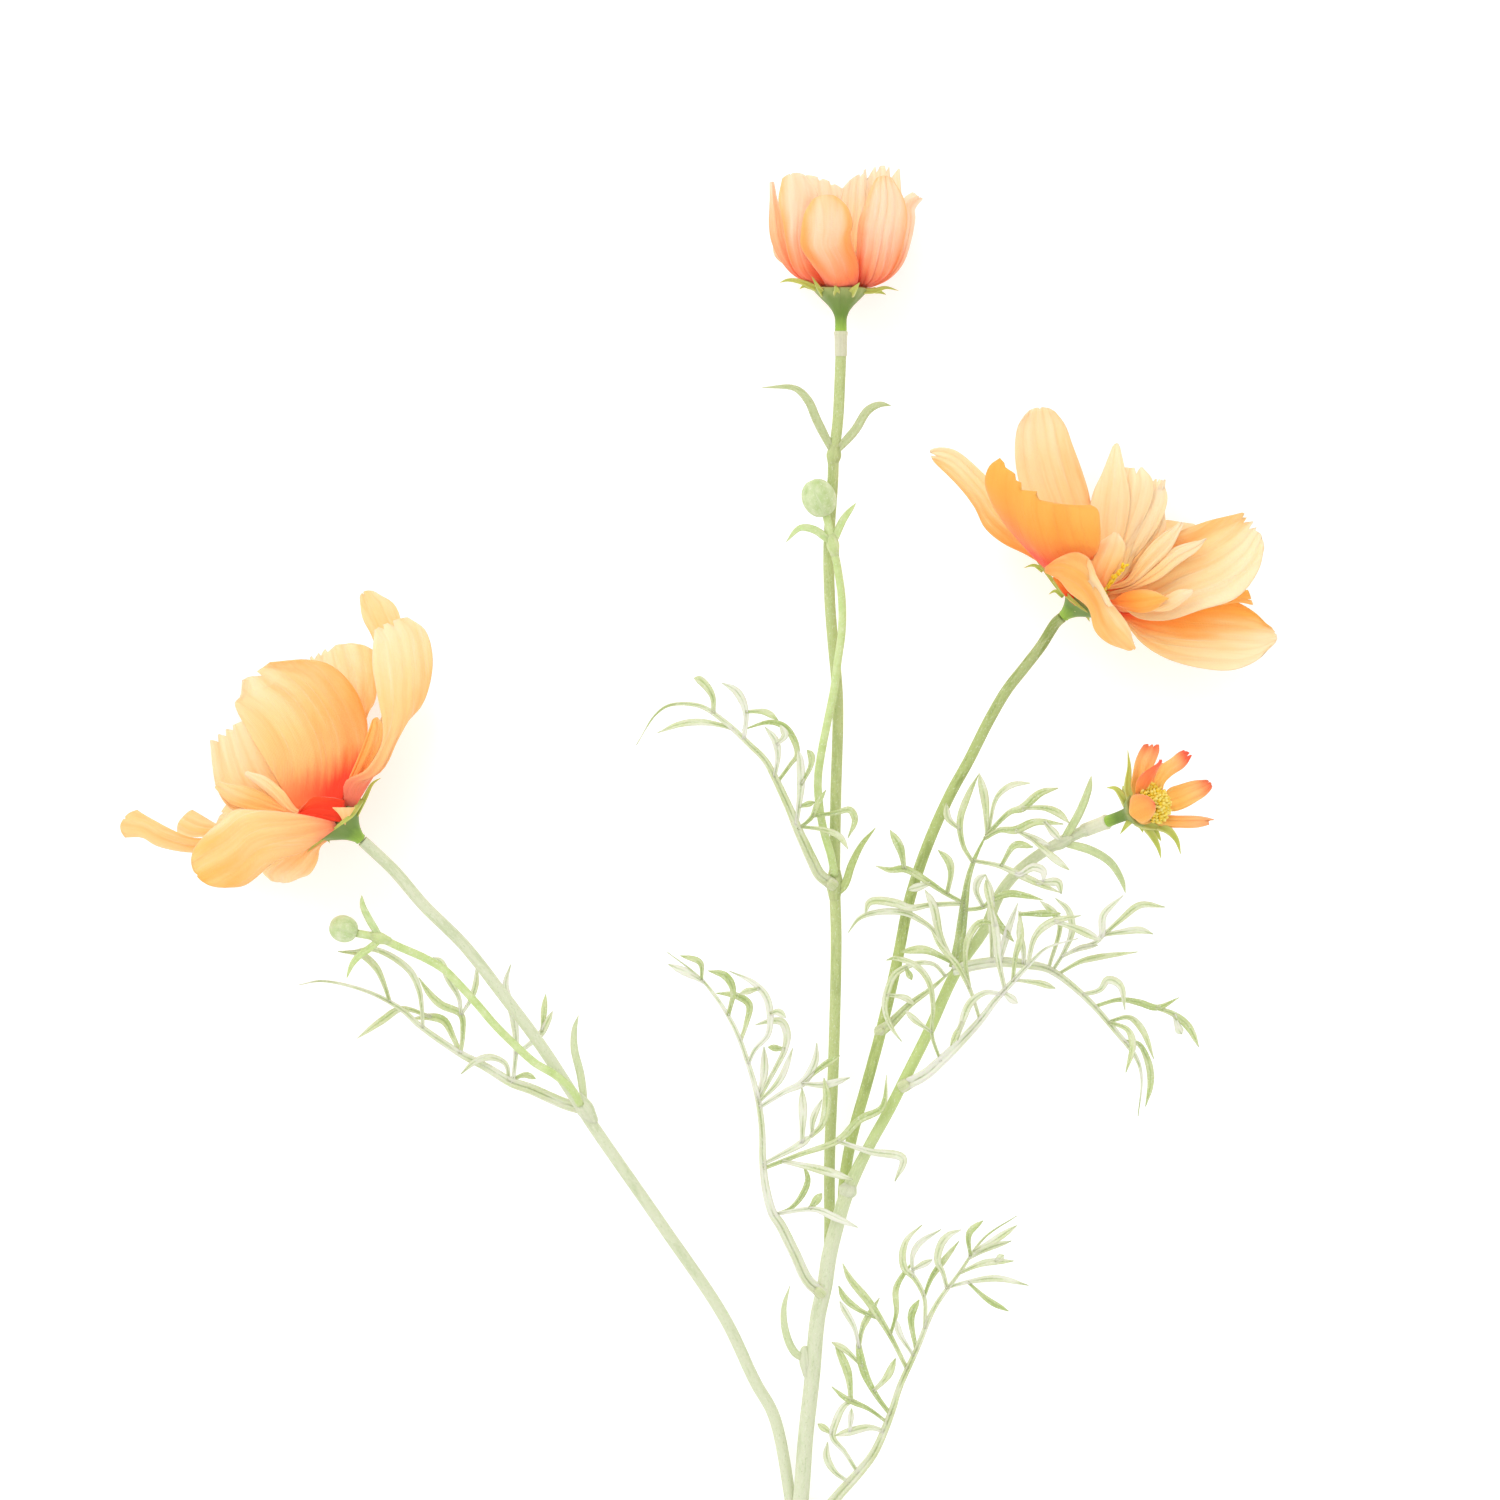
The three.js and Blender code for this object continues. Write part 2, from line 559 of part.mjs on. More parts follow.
// A round bud on the end of its stalk
function bud(place, along, radius, halfLength) {
  const profile = [];
  const bands = 6;
  for (let band = 0; band <= bands; band++) {
    const angle = (Math.PI * band) / bands;
    profile.push([radius * Math.sin(angle), -halfLength * Math.cos(angle)]);
  }
  profile[0][0] = 0;
  profile[bands][0] = 0;
  return turned(profile, vector(place), vector(along).normalize());
}

const mainRoom = stemRoom(MAIN_ROUTE, MAIN_RADII, MAIN_NODES);
const topRoom = stemRoom(TOP_ROUTE, uniform(STEM_RADIUS), TOP_NODES);
const leftRoom = stemRoom(LEFT_ROUTE, uniform(STEM_RADIUS + 0.1), LEFT_NODES);
const rightRoom = stemRoom(RIGHT_ROUTE, uniform(STEM_RADIUS));

function mainStem() {
  return fuse([
    stem(MAIN_ROUTE, MAIN_RADII),
    ...MAIN_NODES.map((place) => node(place)),
    bract([[11.6, -122.6, 9.2], [9, -121, 9.8], [7.2, -117, 10.6], [6.8, -112, 11], [8, -107.6, 10.6]], 0.7),
    bract([[62.4, -18.4, 19.6], [65.6, -13, 22], [67.6, -8, 22.6], [68.2, -5.2, 22.4]]),
    bract([[62.6, -18.6, 19.4], [68, -20, 20.4], [72, -22.4, 19.6], [74.4, -26, 18], [75.2, -28.6, 16.6]]),
  ]);
}

function topStem() {
  return fuse([
    stem(TOP_ROUTE, uniform(STEM_RADIUS)),
    ...TOP_NODES.map((place) => node(place)),
    bract([[16.8, 59.4, 15.8], [13.4, 66, 17.4], [11.6, 70, 18], [9, 72.4, 18], [2.4, 72.6, 17]]),
    bract([[16.8, 59.4, 15.8], [21, 64, 17], [23.6, 68, 17.4], [26, 69.2, 17.2], [28.2, 69, 16.6]]),
    bract([[17.2, -29, 11.2], [19, -27, 12], [20.4, -23, 12.6], [22.4, -19, 13], [25.2, -15.6, 12.6]]),
  ]).subtract(mainRoom);
}

function leftBranch() {
  return fuse([
    stem(LEFT_ROUTE, uniform(STEM_RADIUS + 0.1)),
    ...LEFT_NODES.map((place) => node(place)),
    bract([[-33, -72, 15.6], [-34, -65, 14], [-35.2, -60, 14], [-35.2, -56, 13.6], [-34.4, -53.2, 13]]),
  ]).subtract(mainRoom);
}

function rightBranch() {
  return stem(RIGHT_ROUTE, uniform(STEM_RADIUS)).subtract(mainRoom);
}

function middleBudStalk() {
  return fuse([
    stem(MIDDLE_BUD_ROUTE, uniform(BUD_STALK_RADIUS), BUD_STALK_SIDES),
    node(BUD_NODES.middle),
    bud([13.8, 50.4, 19.4], [-0.45, 1, 0], 3.4, 3.9),
    bract([[16.6, 41.2, 18.4], [13, 44, 19.4], [10, 44.4, 19.6], [7.2, 41.6, 19]]),
    bract([[16.6, 41.4, 18.4], [18.6, 46, 18.8], [21.2, 49.4, 18.6]]),
  ]).subtract(topRoom);
}

function leftBudStalk() {
  return fuse([
    stem(LEFT_BUD_ROUTE, uniform(BUD_STALK_RADIUS), BUD_STALK_SIDES),
    node(BUD_NODES.left),
    bud([-81.2, -35.7, 22.2], [-1, 0.3, 0.05], 2.7, 2.9),
    bract([[-73.8, -37.6, 21.9], [-76, -34, 22.6], [-77.4, -31, 22.6], [-77.6, -29, 22]]),
    bract([[-73.8, -37.8, 21.9], [-76, -39.6, 22.4], [-78, -41, 22.6], [-79.6, -43, 22.4], [-80.6, -45.6, 21.6]]),
  ]).subtract(leftRoom);
}

function leftLeaf() {
  const rachis = [
    [-33, -72, 14.6], [-37, -71, 13.2], [-44, -68, 12.4], [-48, -66.6, 12.2], [-53, -63.6, 12],
    [-58, -61, 12], [-62, -58.4, 12], [-66.4, -55.2, 12], [-70, -52, 12], [-77, -48.4, 11.6],
    [-86, -46.4, 10.6], [-90.6, -47.2, 9.6],
  ];
  const blades = [
    blade(2, [-72, -50.6], [-73.4, -47], [-75, -43.6], [-78, -41], [-82.6, -40.4]),
    blade(3, [-65.4, -55.8], [-65.8, -52], [-66.4, -48], [-68.4, -44], [-75, -40], [-80.4, -40.4]),
    blade(3, [-58, -61], [-57.6, -57], [-58, -53], [-62, -51], [-64.4, -48.6], [-66.4, -45.6]),
    blade(1, [-58, -53], [-58.4, -49.6], [-60.4, -46], [-62, -42.4], [-63.6, -41.6]),
    blade(0, [-58, -53], [-56, -50], [-55, -47], [-54.8, -43]),
    blade(-2, [-58, -61], [-59.6, -57.6], [-61.4, -54.4], [-64, -53.6], [-68, -54]),
    blade(-2, [-64, -53.6], [-70, -52], [-74, -54.4], [-79, -58]),
    blade(2, [-48, -66], [-49, -63], [-52, -61.6], [-55, -62.4], [-58, -65]),
    blade(1, [-47.4, -66.4], [-47, -61], [-47, -57], [-47.6, -53], [-49, -47], [-48, -43]),
    blade(0, [-47, -61], [-45, -59.6], [-42, -57], [-40.4, -54], [-39.6, -52.4]),
    blade(-1, [-42, -57], [-41.4, -53], [-41, -49]),
    blade(-1, [-47, -66], [-45, -65.2], [-43, -66]),
  ];
  return featheryLeaf([rachis], blades).subtract(leftRoom);
}

function upperLeaf() {
  const rachis = [
    [16.6, -27, 12], [14, -25, 14.2], [12.4, -22, 15.4], [11, -19, 16.2], [9.8, -16.4, 16.8],
    [8, -12, 17.4], [5, -5.6, 18], [3, -2, 18.2], [0, 1, 18.2], [-5, 5.6, 18], [-10, 8.8, 17.4],
    [-16, 9, 16], [-19, 7, 14.8], [-22.8, 1, 12.4],
  ];
  const blades = [
    blade(-3, [-3, 4], [-6, 5], [-10, 5.6], [-14, 5.2], [-18.6, 3.4]),
    blade(2, [-6.8, 7.6], [-7.6, 11], [-10, 14], [-11.2, 14.4]),
    blade(3, [-0.6, 2.4], [-0.8, 7], [-1.6, 10], [-3, 12], [-5.6, 13.4]),
    blade(1, [-0.8, 8], [3, 7.6], [5.6, 6]),
    blade(-4, [6, -6.4], [8, -3], [9.4, -1], [9, 1.6], [7, 4.6], [4, 5.6], [-1.6, 4]),
    blade(2, [5.6, -5], [5.6, -1], [5, 2], [3, 4.6]),
    blade(2, [5.4, 1], [7, 3], [6, 5]),
    blade(3, [9.6, -15], [9.8, -11], [10.2, -7], [10, -2], [9.6, 0]),
    blade(1, [10.2, -6.6], [12.2, -3], [12.2, -1], [11.4, 0]),
    blade(0, [9.8, -11.6], [13, -10.4]),
    blade(2, [10, -15.6], [12.4, -13.4], [13.6, -10.6], [15.2, -8]),
    blade(0.5, [12.6, -13.4], [17, -12.6], [20, -12], [21, -14], [19.6, -17.6]),
    blade(1.5, [10.4, -16], [15, -16], [18, -17.4], [19.6, -19.8]),
  ];
  return featheryLeaf([rachis], blades).subtract(topRoom);
}

function middleLeaf() {
  const rachis = [
    [14.4, -109, 11.6], [11.6, -106.4, 13.2], [9, -101, 14.4], [6, -95, 15], [4.6, -93, 15.2],
    [3.2, -88, 15.6], [2.6, -83, 15.8], [2.4, -76, 16], [1.6, -70, 16], [0, -64, 15.8],
    [-3.4, -55, 15], [-8.8, -47, 13.4], [-12, -44, 12.4], [-16.6, -40.6, 11],
  ];
  const blades = [
    blade(-2, [-9.4, -47], [-12, -45], [-16.4, -43]),
    blade(2, [-9.6, -46], [-10, -42.6], [-14, -41.2]),
    blade(2, [-4.4, -53], [-3.4, -48], [-5, -45.2], [-8.4, -44.2]),
    blade(-3, [-1.8, -58], [-0.8, -55], [-0.2, -51], [-3, -49.2], [-6.8, -48.8]),
    blade(3, [-0.2, -63], [1, -60], [3.6, -57], [4, -52.4], [3, -49], [0.4, -46.4], [-4.2, -44.2]),
    blade(1, [2, -48], [-2, -48.6]),
    blade(1, [4, -53], [5.6, -52.4], [7.2, -53.6]),
    blade(-2, [2, -69.6], [2.8, -65], [2.8, -59.4]),
    blade(-4, [2, -70], [5, -64], [7, -60], [7.4, -57], [6.4, -54.6], [4, -54.4], [1, -55.2]),
    blade(-1, [7, -60], [3.6, -59.6]),
    blade(2, [2.4, -70.6], [6, -66], [8.6, -59.6]),
    blade(1, [2.4, -71.4], [7, -68.4], [10.6, -66.6], [13, -62.4], [13.4, -58.6]),
    blade(0, [10.6, -66.6], [15, -63], [18, -61.2]),
    blade(1, [10.6, -66.6], [15, -67], [20, -65.6]),
    blade(1, [2.8, -83], [10, -79], [12.4, -77.2]),
    blade(2, [10.6, -79], [10.6, -73], [10.4, -67.6]),
    blade(0, [12.4, -77.4], [12.6, -74], [14.4, -70]),
    blade(2, [12.4, -77.6], [14.4, -75], [15.4, -70], [14.8, -65.6]),
    blade(1.6, [3, -83.8], [10, -81], [17.6, -78.2], [22, -74], [26.4, -71.6], [27.4, -65]),
    blade(1, [17.6, -78.2], [24, -80.4], [30.6, -81.8], [29, -86.4]),
    blade(1.4, [6.6, -82], [14, -84], [20.6, -86]),
    blade(-2, [5, -93], [8, -92], [10.6, -89], [11.6, -86], [10.6, -83]),
    blade(2.4, [5.6, -93.4], [13, -92], [17, -93.6], [21.6, -95.6]),
    blade(0, [12, -92], [14.4, -88.8]),
  ];
  return featheryLeaf([rachis], blades).subtract(mainRoom);
}

function rightLeaf() {
  const petiole = [[25.8, -56.6, 11.4], [28, -55, 13.8], [32, -51, 16], [36, -48, 17.4], [41, -43.6, 18.2]];
  const upperFrond = [
    [41, -43.6, 18.2], [42, -38, 18.4], [43, -30, 18.6], [43.6, -26, 18.8], [45, -21.6, 19.2],
    [48, -15.6, 19.4],
  ];
  const archingFrond = [
    [40.6, -44, 18.2], [45, -43, 18.8], [50, -42.4, 19.2], [56, -43, 19.2], [60, -44, 19],
    [67, -49.4, 18], [73, -56, 16], [77.6, -62, 13.4], [78.6, -66, 11.6], [78, -73.6, 8],
  ];
  const blades = [
    blade(3, [44.4, -22.4], [42.6, -19], [42, -14], [43.6, -9], [45.6, -5]),
    blade(1, [42, -15.6], [39.6, -13.6], [39.2, -10.6]),
    blade(0, [47.6, -16.4], [47, -10], [45.8, -4.6]),
    blade(2, [47.8, -16], [49.4, -9.4], [52.4, -7], [56, -6.6]),
    blade(3, [47.4, -17], [52, -12.4], [54.4, -11.6], [58, -8.6], [61.6, -7.6]),
    blade(1, [54.4, -11.6], [59, -11.6], [61.6, -12.6], [63.8, -14.6]),
    blade(4, [47, -17.6], [50, -16], [53, -16], [57, -14.4], [62.6, -14.8]),
    blade(0, [53, -16], [56, -17.4], [60, -19]),
    blade(0, [59, -14.4], [62, -18]),
    blade(1, [56, -17.4], [60, -21], [63.8, -24]),
    blade(3, [45, -22.4], [50, -23], [53, -24.4], [59, -27]),
    blade(2, [50, -22.6], [53, -19], [56.6, -19.4]),
    blade(2, [42.8, -30.4], [39, -28.6], [36, -26.6], [31, -23.8], [28, -24], [25.2, -23.2]),
    blade(2, [31, -23.8], [30, -19.6], [28, -16]),
    blade(3, [39.6, -28.6], [40.2, -24.4], [39.6, -22], [37.6, -20]),
    blade(-1, [36.4, -26.8], [31.6, -28]),
    blade(1, [42.8, -30.6], [36, -31], [32, -31.6], [29, -30.6], [24, -30.4], [23, -33]),
    blade(0, [41, -43], [39, -40], [36.6, -36], [34, -34], [31, -32.6], [26, -32.4], [22, -33.6], [19.6, -36.6]),
    blade(2, [40.4, -42], [38, -37], [36.6, -31], [35, -28]),
    blade(0, [40, -42.8], [35, -40], [30, -40.4]),
    blade(-1, [39, -45], [37, -43], [34, -42.6], [31, -43.6], [29, -45], [27.6, -48], [27, -52],
      [28.6, -56], [30.4, -58.4]),
    blade(1, [28, -49.6], [31, -49.6], [33, -51]),
    blade(1, [31, -43.6], [32.4, -46]),
    blade(3, [61, -43.8], [63, -40], [64.4, -36], [63.6, -32], [61, -29.6]),
    blade(0, [61.4, -44.6], [66, -42.4], [70, -41.4], [77.6, -40.4]),
    blade(2, [62.6, -41.8], [66, -39.6], [69.6, -39]),
    blade(2, [65, -40.4], [70, -37.6], [70.6, -33], [74.6, -29]),
    blade(0, [70, -37.6], [74, -34], [78, -31], [83, -31.4]),
    blade(-1, [71, -37], [74, -36.4], [78, -36], [80.6, -36.8]),
    blade(2, [66.6, -49.2], [70, -48], [71.6, -46], [74, -47], [75, -52]),
    blade(-2, [69, -51], [74, -50], [78, -50.6], [81.6, -51.6], [86, -49.6]),
    blade(-2, [81.6, -51.6], [85, -53], [88, -55.6], [90, -59.6]),
    blade(-1, [85, -53.4], [86, -56], [86.6, -57]),
    blade(-3, [72, -54], [76, -53.6], [78.6, -56], [81, -62]),
    blade(2, [72, -54.6], [75.6, -56], [76.6, -59], [75.2, -64.6]),
    blade(-4, [75, -58], [78, -59], [80, -63], [80.4, -67], [79.4, -71.6]),
  ];
  return featheryLeaf([petiole, upperFrond, archingFrond], blades).subtract(rightRoom);
}

function frontLeaf() {
  const rachis = [
    [30.6, -67.4, 15.2], [35, -65, 18], [38, -62.4, 19.6], [42, -58.4, 21.6], [46, -54, 23.2],
    [49, -50, 24.4], [53, -45.6, 25.4], [56, -42.4, 26], [59, -39.6, 26.4], [65.4, -37.6, 26],
  ];
  const blades = [
    blade(3, [38, -62.4], [36.4, -57], [36.6, -51], [35.6, -46], [33, -43], [29, -41.6], [27.2, -42]),
    blade(1, [36.4, -56], [33, -54], [31, -52]),
    blade(2, [45.6, -54], [44, -48], [41.4, -43], [38, -39], [36, -35.6]),
    blade(1, [43.6, -47.4], [43, -42], [43.4, -38], [46, -34.4], [50, -35]),
    blade(3, [50.4, -47.6], [49.6, -42], [49, -36], [48, -31]),
    blade(2, [52, -46], [53, -41], [54, -37], [53.6, -32]),
    blade(1, [55, -43], [57, -37], [60, -34.4], [66, -33]),
    blade(0, [61, -34.4], [66, -36], [70, -38]),
    blade(-1, [52.6, -46], [58, -46.6], [61, -47.6]),
    blade(0, [50.4, -48.2], [53.4, -50.6]),
    blade(1, [50, -48.6], [47, -48.4], [44, -50.4], [42.4, -54], [41.4, -58]),
    blade(1, [42.4, -54], [40, -59]),
    blade(-2, [48.8, -35], [47.6, -29], [47, -26]),
    blade(-1, [53.8, -33], [58, -32.6], [62, -32.6]),
  ];
  return featheryLeaf([rachis], blades).subtract(mainRoom);
}

function lowerLeaf() {
  const rachis = [
    [9.4, -161, 5.6], [12, -157, 6], [17.6, -150, 7.6], [22, -145, 8.8], [25, -141, 9.6],
    [28.4, -133, 10.4], [30, -128, 10.8], [33.6, -120, 11.2], [37, -112, 11.4], [42, -105, 11.2],
    [47, -98, 10.4], [53.6, -93.6, 9],
  ];
  const blades = [
    blade(1, [45, -101], [49, -98.4], [53.6, -95.4]),
    blade(1, [44.4, -101.6], [44, -97], [46.8, -94.4]),
    blade(-2, [44, -102], [48, -100], [52.6, -98.6]),
    blade(-1, [42, -105], [47, -103], [53, -102.6]),
    blade(0, [49, -102.8], [51, -101.4]),
    blade(-3, [40, -108], [45, -106.6], [50, -106.2], [56, -107.6]),
    blade(-2, [43.6, -107], [48, -110.6], [52, -112.8]),
    blade(2, [39.6, -108], [38.6, -104.6], [37.6, -102.6], [38.4, -99], [40, -97.2], [42.4, -96.2]),
    blade(2, [35, -116], [35, -110], [33, -106], [31, -104], [30.6, -101], [31.6, -98], [34.6, -95.2]),
    blade(-1, [33, -105.6], [32.6, -101.6], [34, -99], [38.4, -96.2]),
    blade(1, [33, -104.4], [36.6, -102.2]),
    blade(-2, [35, -110], [36.4, -106], [39, -102.4], [42, -98.6]),
    blade(-2, [33, -120.6], [32.4, -113.6], [34, -110.4]),
    blade(1, [32.6, -121.6], [30, -117], [29.4, -114.4]),
    blade(2, [31.4, -124], [28.4, -118], [26, -114], [23.6, -110.4], [20, -106], [18.6, -103]),
    blade(-3, [28.6, -117], [29.4, -113], [29.4, -108], [33, -102.4]),
    blade(-2, [26, -114.4], [22, -112.4], [19, -110], [17.8, -107.6]),
    blade(1, [28, -133.6], [25, -129], [23, -125], [22, -121], [21.6, -117]),
    blade(1, [22, -120], [21, -116], [19, -112.4], [18, -110.6]),
    blade(-1, [22, -120], [22.6, -116], [23.6, -114], [26, -110]),
    blade(2, [25, -128.6], [27.6, -125.6], [29.2, -122]),
    blade(1, [28, -135], [24, -132.4], [21, -131], [19, -130], [16.4, -127.8]),
    blade(-3, [20.6, -130.6], [19.6, -125], [17, -119]),
    blade(-3, [22.6, -124], [19, -120.4], [16.4, -119]),
    blade(2, [27.2, -136.6], [24, -136], [20, -136.8], [17, -137.6]),
    blade(2, [21.6, -145], [19, -141], [16.6, -138], [17.2, -135], [19, -131.6], [21.4, -130.6]),
    blade(1, [19.6, -146.8], [17, -145], [15.4, -142], [15.6, -139]),
    blade(2, [19.6, -136.4], [20.4, -132]),
    blade(-2, [16.6, -137.4], [13.6, -135.4]),
  ];
  return featheryLeaf([rachis], blades).subtract(mainRoom);
}

const spray = new THREE.Group();
const body = new THREE.Group();
body.position.set(-BOX_CENTRE[0], -BOX_CENTRE[1], 0);
spray.add(body);

// Adds one named piece in its own colour
function addPiece(name, solid, color, roughness = 0.7) {
  const material = new THREE.MeshStandardMaterial({ color, roughness, metalness: 0 });
  const mesh = new THREE.Mesh(toGeometry(solid), material);
  mesh.name = name;
  body.add(mesh);
}

addPiece('main_stem', mainStem(), STEM_SAGE);
addPiece('top_stem', topStem(), STEM_GREEN);
addPiece('left_branch', leftBranch(), STEM_SAGE);
addPiece('right_branch', rightBranch(), STEM_GREEN);
addPiece('middle_bud_stalk', middleBudStalk(), BUD_GREEN);
addPiece('left_bud_stalk', leftBudStalk(), BUD_GREEN);
addPiece('left_leaf', leftLeaf(), LEAF_GREEN);
addPiece('upper_leaf', upperLeaf(), LEAF_GREEN);
addPiece('middle_leaf', middleLeaf(), LEAF_GREEN);
addPiece('right_leaf', rightLeaf(), LEAF_GREEN);
addPiece('front_leaf', frontLeaf(), LEAF_GREEN);
addPiece('lower_leaf', lowerLeaf(), LEAF_GREEN);

const BLOOMS = {
  top_bloom: [topBloom, PETAL_PINK],
  right_bloom: [rightBloom, PETAL_PEACH],
  left_bloom: [leftBloom, PETAL_PEACH],
  small_bloom: [smallBloom, PETAL_CORAL],
};
for (const [name, [bloom, petalColor]] of Object.entries(BLOOMS)) {
  addPiece(`${name}_calyx`, calyx(bloom), CALYX_GREEN);
  addPiece(`${name}_disc`, disc(bloom), DISC_YELLOW);
  addPiece(`${name}_petals`, corolla(bloom), petalColor, 0.85);
}

export default spray;
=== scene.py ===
"""A branched cosmos spray of cloth and plastic, lying on a pale floor and seen from above.

Sizes and places are in millimetres in the frame of the routes below, which is moved so that
the middle of the spray's box stands over the frame's origin, and scaled to metres. Routes and
outlines are flat lists: x, y, z of each point in space, or x, y of each point in plan.
"""

import math
import random

import bpy
import mathutils
import numpy as np
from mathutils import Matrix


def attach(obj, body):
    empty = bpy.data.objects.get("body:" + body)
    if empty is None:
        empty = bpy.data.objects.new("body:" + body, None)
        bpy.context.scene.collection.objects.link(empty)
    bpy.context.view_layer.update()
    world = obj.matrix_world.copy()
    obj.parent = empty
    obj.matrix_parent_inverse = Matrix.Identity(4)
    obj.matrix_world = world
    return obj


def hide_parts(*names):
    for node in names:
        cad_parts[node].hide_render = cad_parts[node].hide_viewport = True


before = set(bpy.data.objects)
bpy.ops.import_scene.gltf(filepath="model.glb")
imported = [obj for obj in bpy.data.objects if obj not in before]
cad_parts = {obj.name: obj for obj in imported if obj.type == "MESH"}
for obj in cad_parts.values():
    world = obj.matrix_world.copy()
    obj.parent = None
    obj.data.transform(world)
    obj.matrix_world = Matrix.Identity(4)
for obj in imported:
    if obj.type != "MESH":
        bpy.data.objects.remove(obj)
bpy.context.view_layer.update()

MM = 0.001
BOX_CENTRE = np.array([-10.65, -51.5, 0.0])
UP = np.array([0.0, 0.0, 1.0])
random.seed(7)

# Driving dimensions
GAP = 0.3
STEM_RADIUS = 1.1
LEFT_BRANCH_RADIUS = 1.2
TRUNK_RADIUS = 1.55
CUT_END_RADIUS = 2.1
BUD_STALK_RADIUS = 0.8
BLADE_HALF_WIDTH = 0.72
BLADE_HALF_THICKNESS = 0.36
RACHIS_RADIUS = 0.98
CALYX_RIM_RADIUS = 5.4
DISC_RADIUS = 2.3
HUB_RADIUS = 3.2
HUB_DEPTH = 0.8
PETAL_THICKNESS = 0.34

# The camera: its height, the height of the plane that it frames, and how wide that frame is
EYE_HEIGHT = 2420.0
VIEW_LEVEL = 20.0
VIEW_WIDTH = 300.0
SENSOR_WIDTH = 36.0

# How fine the meshes are
STEM_SIDES = 20
STEM_STEP = 1.0
BLADE_STEP = 0.7
PETAL_GRID = (36, 34)
SMALL_PETAL_GRID = (22, 16)
LATHE_SIDES = 40
NODE_SIDES = 24
FLORET_SIDES = 10
RACHIS_STEP = 0.5
EDGE_STEP = 0.5
BRACT_STEP = 0.35
HIDDEN_PETAL_STEP = 4.0

GOLDEN_ANGLE = 137.508


# Vectors and curves

def vector(values):
    return np.array(values, float)


def unit(v):
    return v / np.maximum(np.linalg.norm(v, axis=-1, keepdims=True), 1e-12)


def smoothstep(x, low, high):
    x = np.clip((x - low) / (high - low), 0, 1)
    return x * x * (3 - 2 * x)


def curve_point(points, share):
    """A place on the centripetal Catmull-Rom curve through points, at a share of its spans."""
    last = len(points) - 1
    place = min(max(share, 0.0), 1.0) * last
    start = min(int(place), last - 1)
    t = place - start
    p1, p2 = points[start], points[start + 1]
    p0 = points[start - 1] if start > 0 else 2 * points[0] - points[1]
    p3 = points[start + 2] if start + 2 <= last else 2 * points[last] - points[last - 1]
    d0, d1, d2 = (max(np.linalg.norm(b - a), 1e-6) ** 0.5 for a, b in ((p0, p1), (p1, p2), (p2, p3)))
    m1 = ((p1 - p0) / d0 - (p2 - p0) / (d0 + d1) + (p2 - p1) / d1) * d1
    m2 = ((p2 - p1) / d1 - (p3 - p1) / (d1 + d2) + (p3 - p2) / d2) * d1
    return (p1 + m1 * t + (3 * (p2 - p1) - 2 * m1 - m2) * t**2 + (2 * (p1 - p2) + m1 + m2) * t**3)


def smooth_line(route, step):
    """Points along the smooth curve through a route, about a step apart."""
    points = np.reshape(route, (-1, 3)).astype(float)
    length = sum(np.linalg.norm(b - a) for a, b in zip(points, points[1:]))
    count = max(6, round(length / step))
    return np.array([curve_point(points, i / count) for i in range(count + 1)])


def walked_along(line):
    """The length walked at each point of a line."""
    return np.concatenate([[0], np.cumsum(np.linalg.norm(np.diff(line, axis=0), axis=1))])


def sizes_along(sizes, count):
    """A list of sizes, spread evenly, read at each of count places."""
    return np.interp(np.linspace(0, len(sizes) - 1, count), range(len(sizes)), sizes)


def frames_along(line, up=UP):
    """The directions across and above at each point of a line."""
    along = unit(np.gradient(line, axis=0))
    across = unit(np.cross(up, along))
    return across, np.cross(along, across)


# Meshes

class Patchwork:
    """Gathers patches and makes one mesh of them. Each point carries, for the material's pattern,
    its place on its patch in millimetres, three numbers of tone and three of form."""

    def __init__(self):
        self.points, self.faces = [], []
        self.values = {"place": [], "tone": [], "form": []}
        self.size = 0

    def add(self, points, faces, places, tones, forms=(0, 0, 0)):
        points = np.asarray(points, float).reshape(-1, 3)
        self.points.append(points)
        self.faces += [tuple(int(i) + self.size for i in face) for face in faces]
        for key, values in (("place", places), ("tone", tones), ("form", forms)):
            values = np.asarray(values, float).reshape(-1, 3)
            self.values[key].append(values if len(values) > 1 else np.tile(values, (len(points), 1)))
        self.size += len(points)

    def make(self, node, material):
        """The finished piece, which rides on the part and stands for a node of it."""
        name = node + "_fine"
        mesh = bpy.data.meshes.new(name)
        points = (np.concatenate(self.points) - BOX_CENTRE) * MM
        mesh.from_pydata(points.tolist(), [], self.faces)
        for key, values in self.values.items():
            attribute = mesh.attributes.new(key, "FLOAT_VECTOR", "POINT")
            attribute.data.foreach_set("vector", np.concatenate(values).astype(np.float32).ravel())
        mesh.shade_smooth()
        mesh.materials.append(material)
        mesh.update()
        piece = bpy.data.objects.new(name, mesh)
        bpy.context.scene.collection.objects.link(piece)
        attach(piece, "root")
        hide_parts(node)


def ring_faces(rings, sides):
    """Faces of a tube of rings that go round along its direction, with flat ends."""
    faces = []
    for ring in range(rings - 1):
        for side in range(sides):
            a, b = ring * sides + side, ring * sides + (side + 1) % sides
            faces.append((a, b, b + sides, a + sides))
    return faces + [tuple(range(sides - 1, -1, -1)), tuple(range((rings - 1) * sides, rings * sides))]


ROUND = [(math.cos(2 * math.pi * i / STEM_SIDES), math.sin(2 * math.pi * i / STEM_SIDES))
         for i in range(STEM_SIDES)]
# A strap with a groove along its upper face
STRAP = [(1, 0), (0.72, 0.75), (0.3, 0.42), (0, 0.1), (-0.3, 0.42), (-0.72, 0.75), (-1, 0),
         (-0.62, -0.7), (0, -0.9), (0.62, -0.7)]
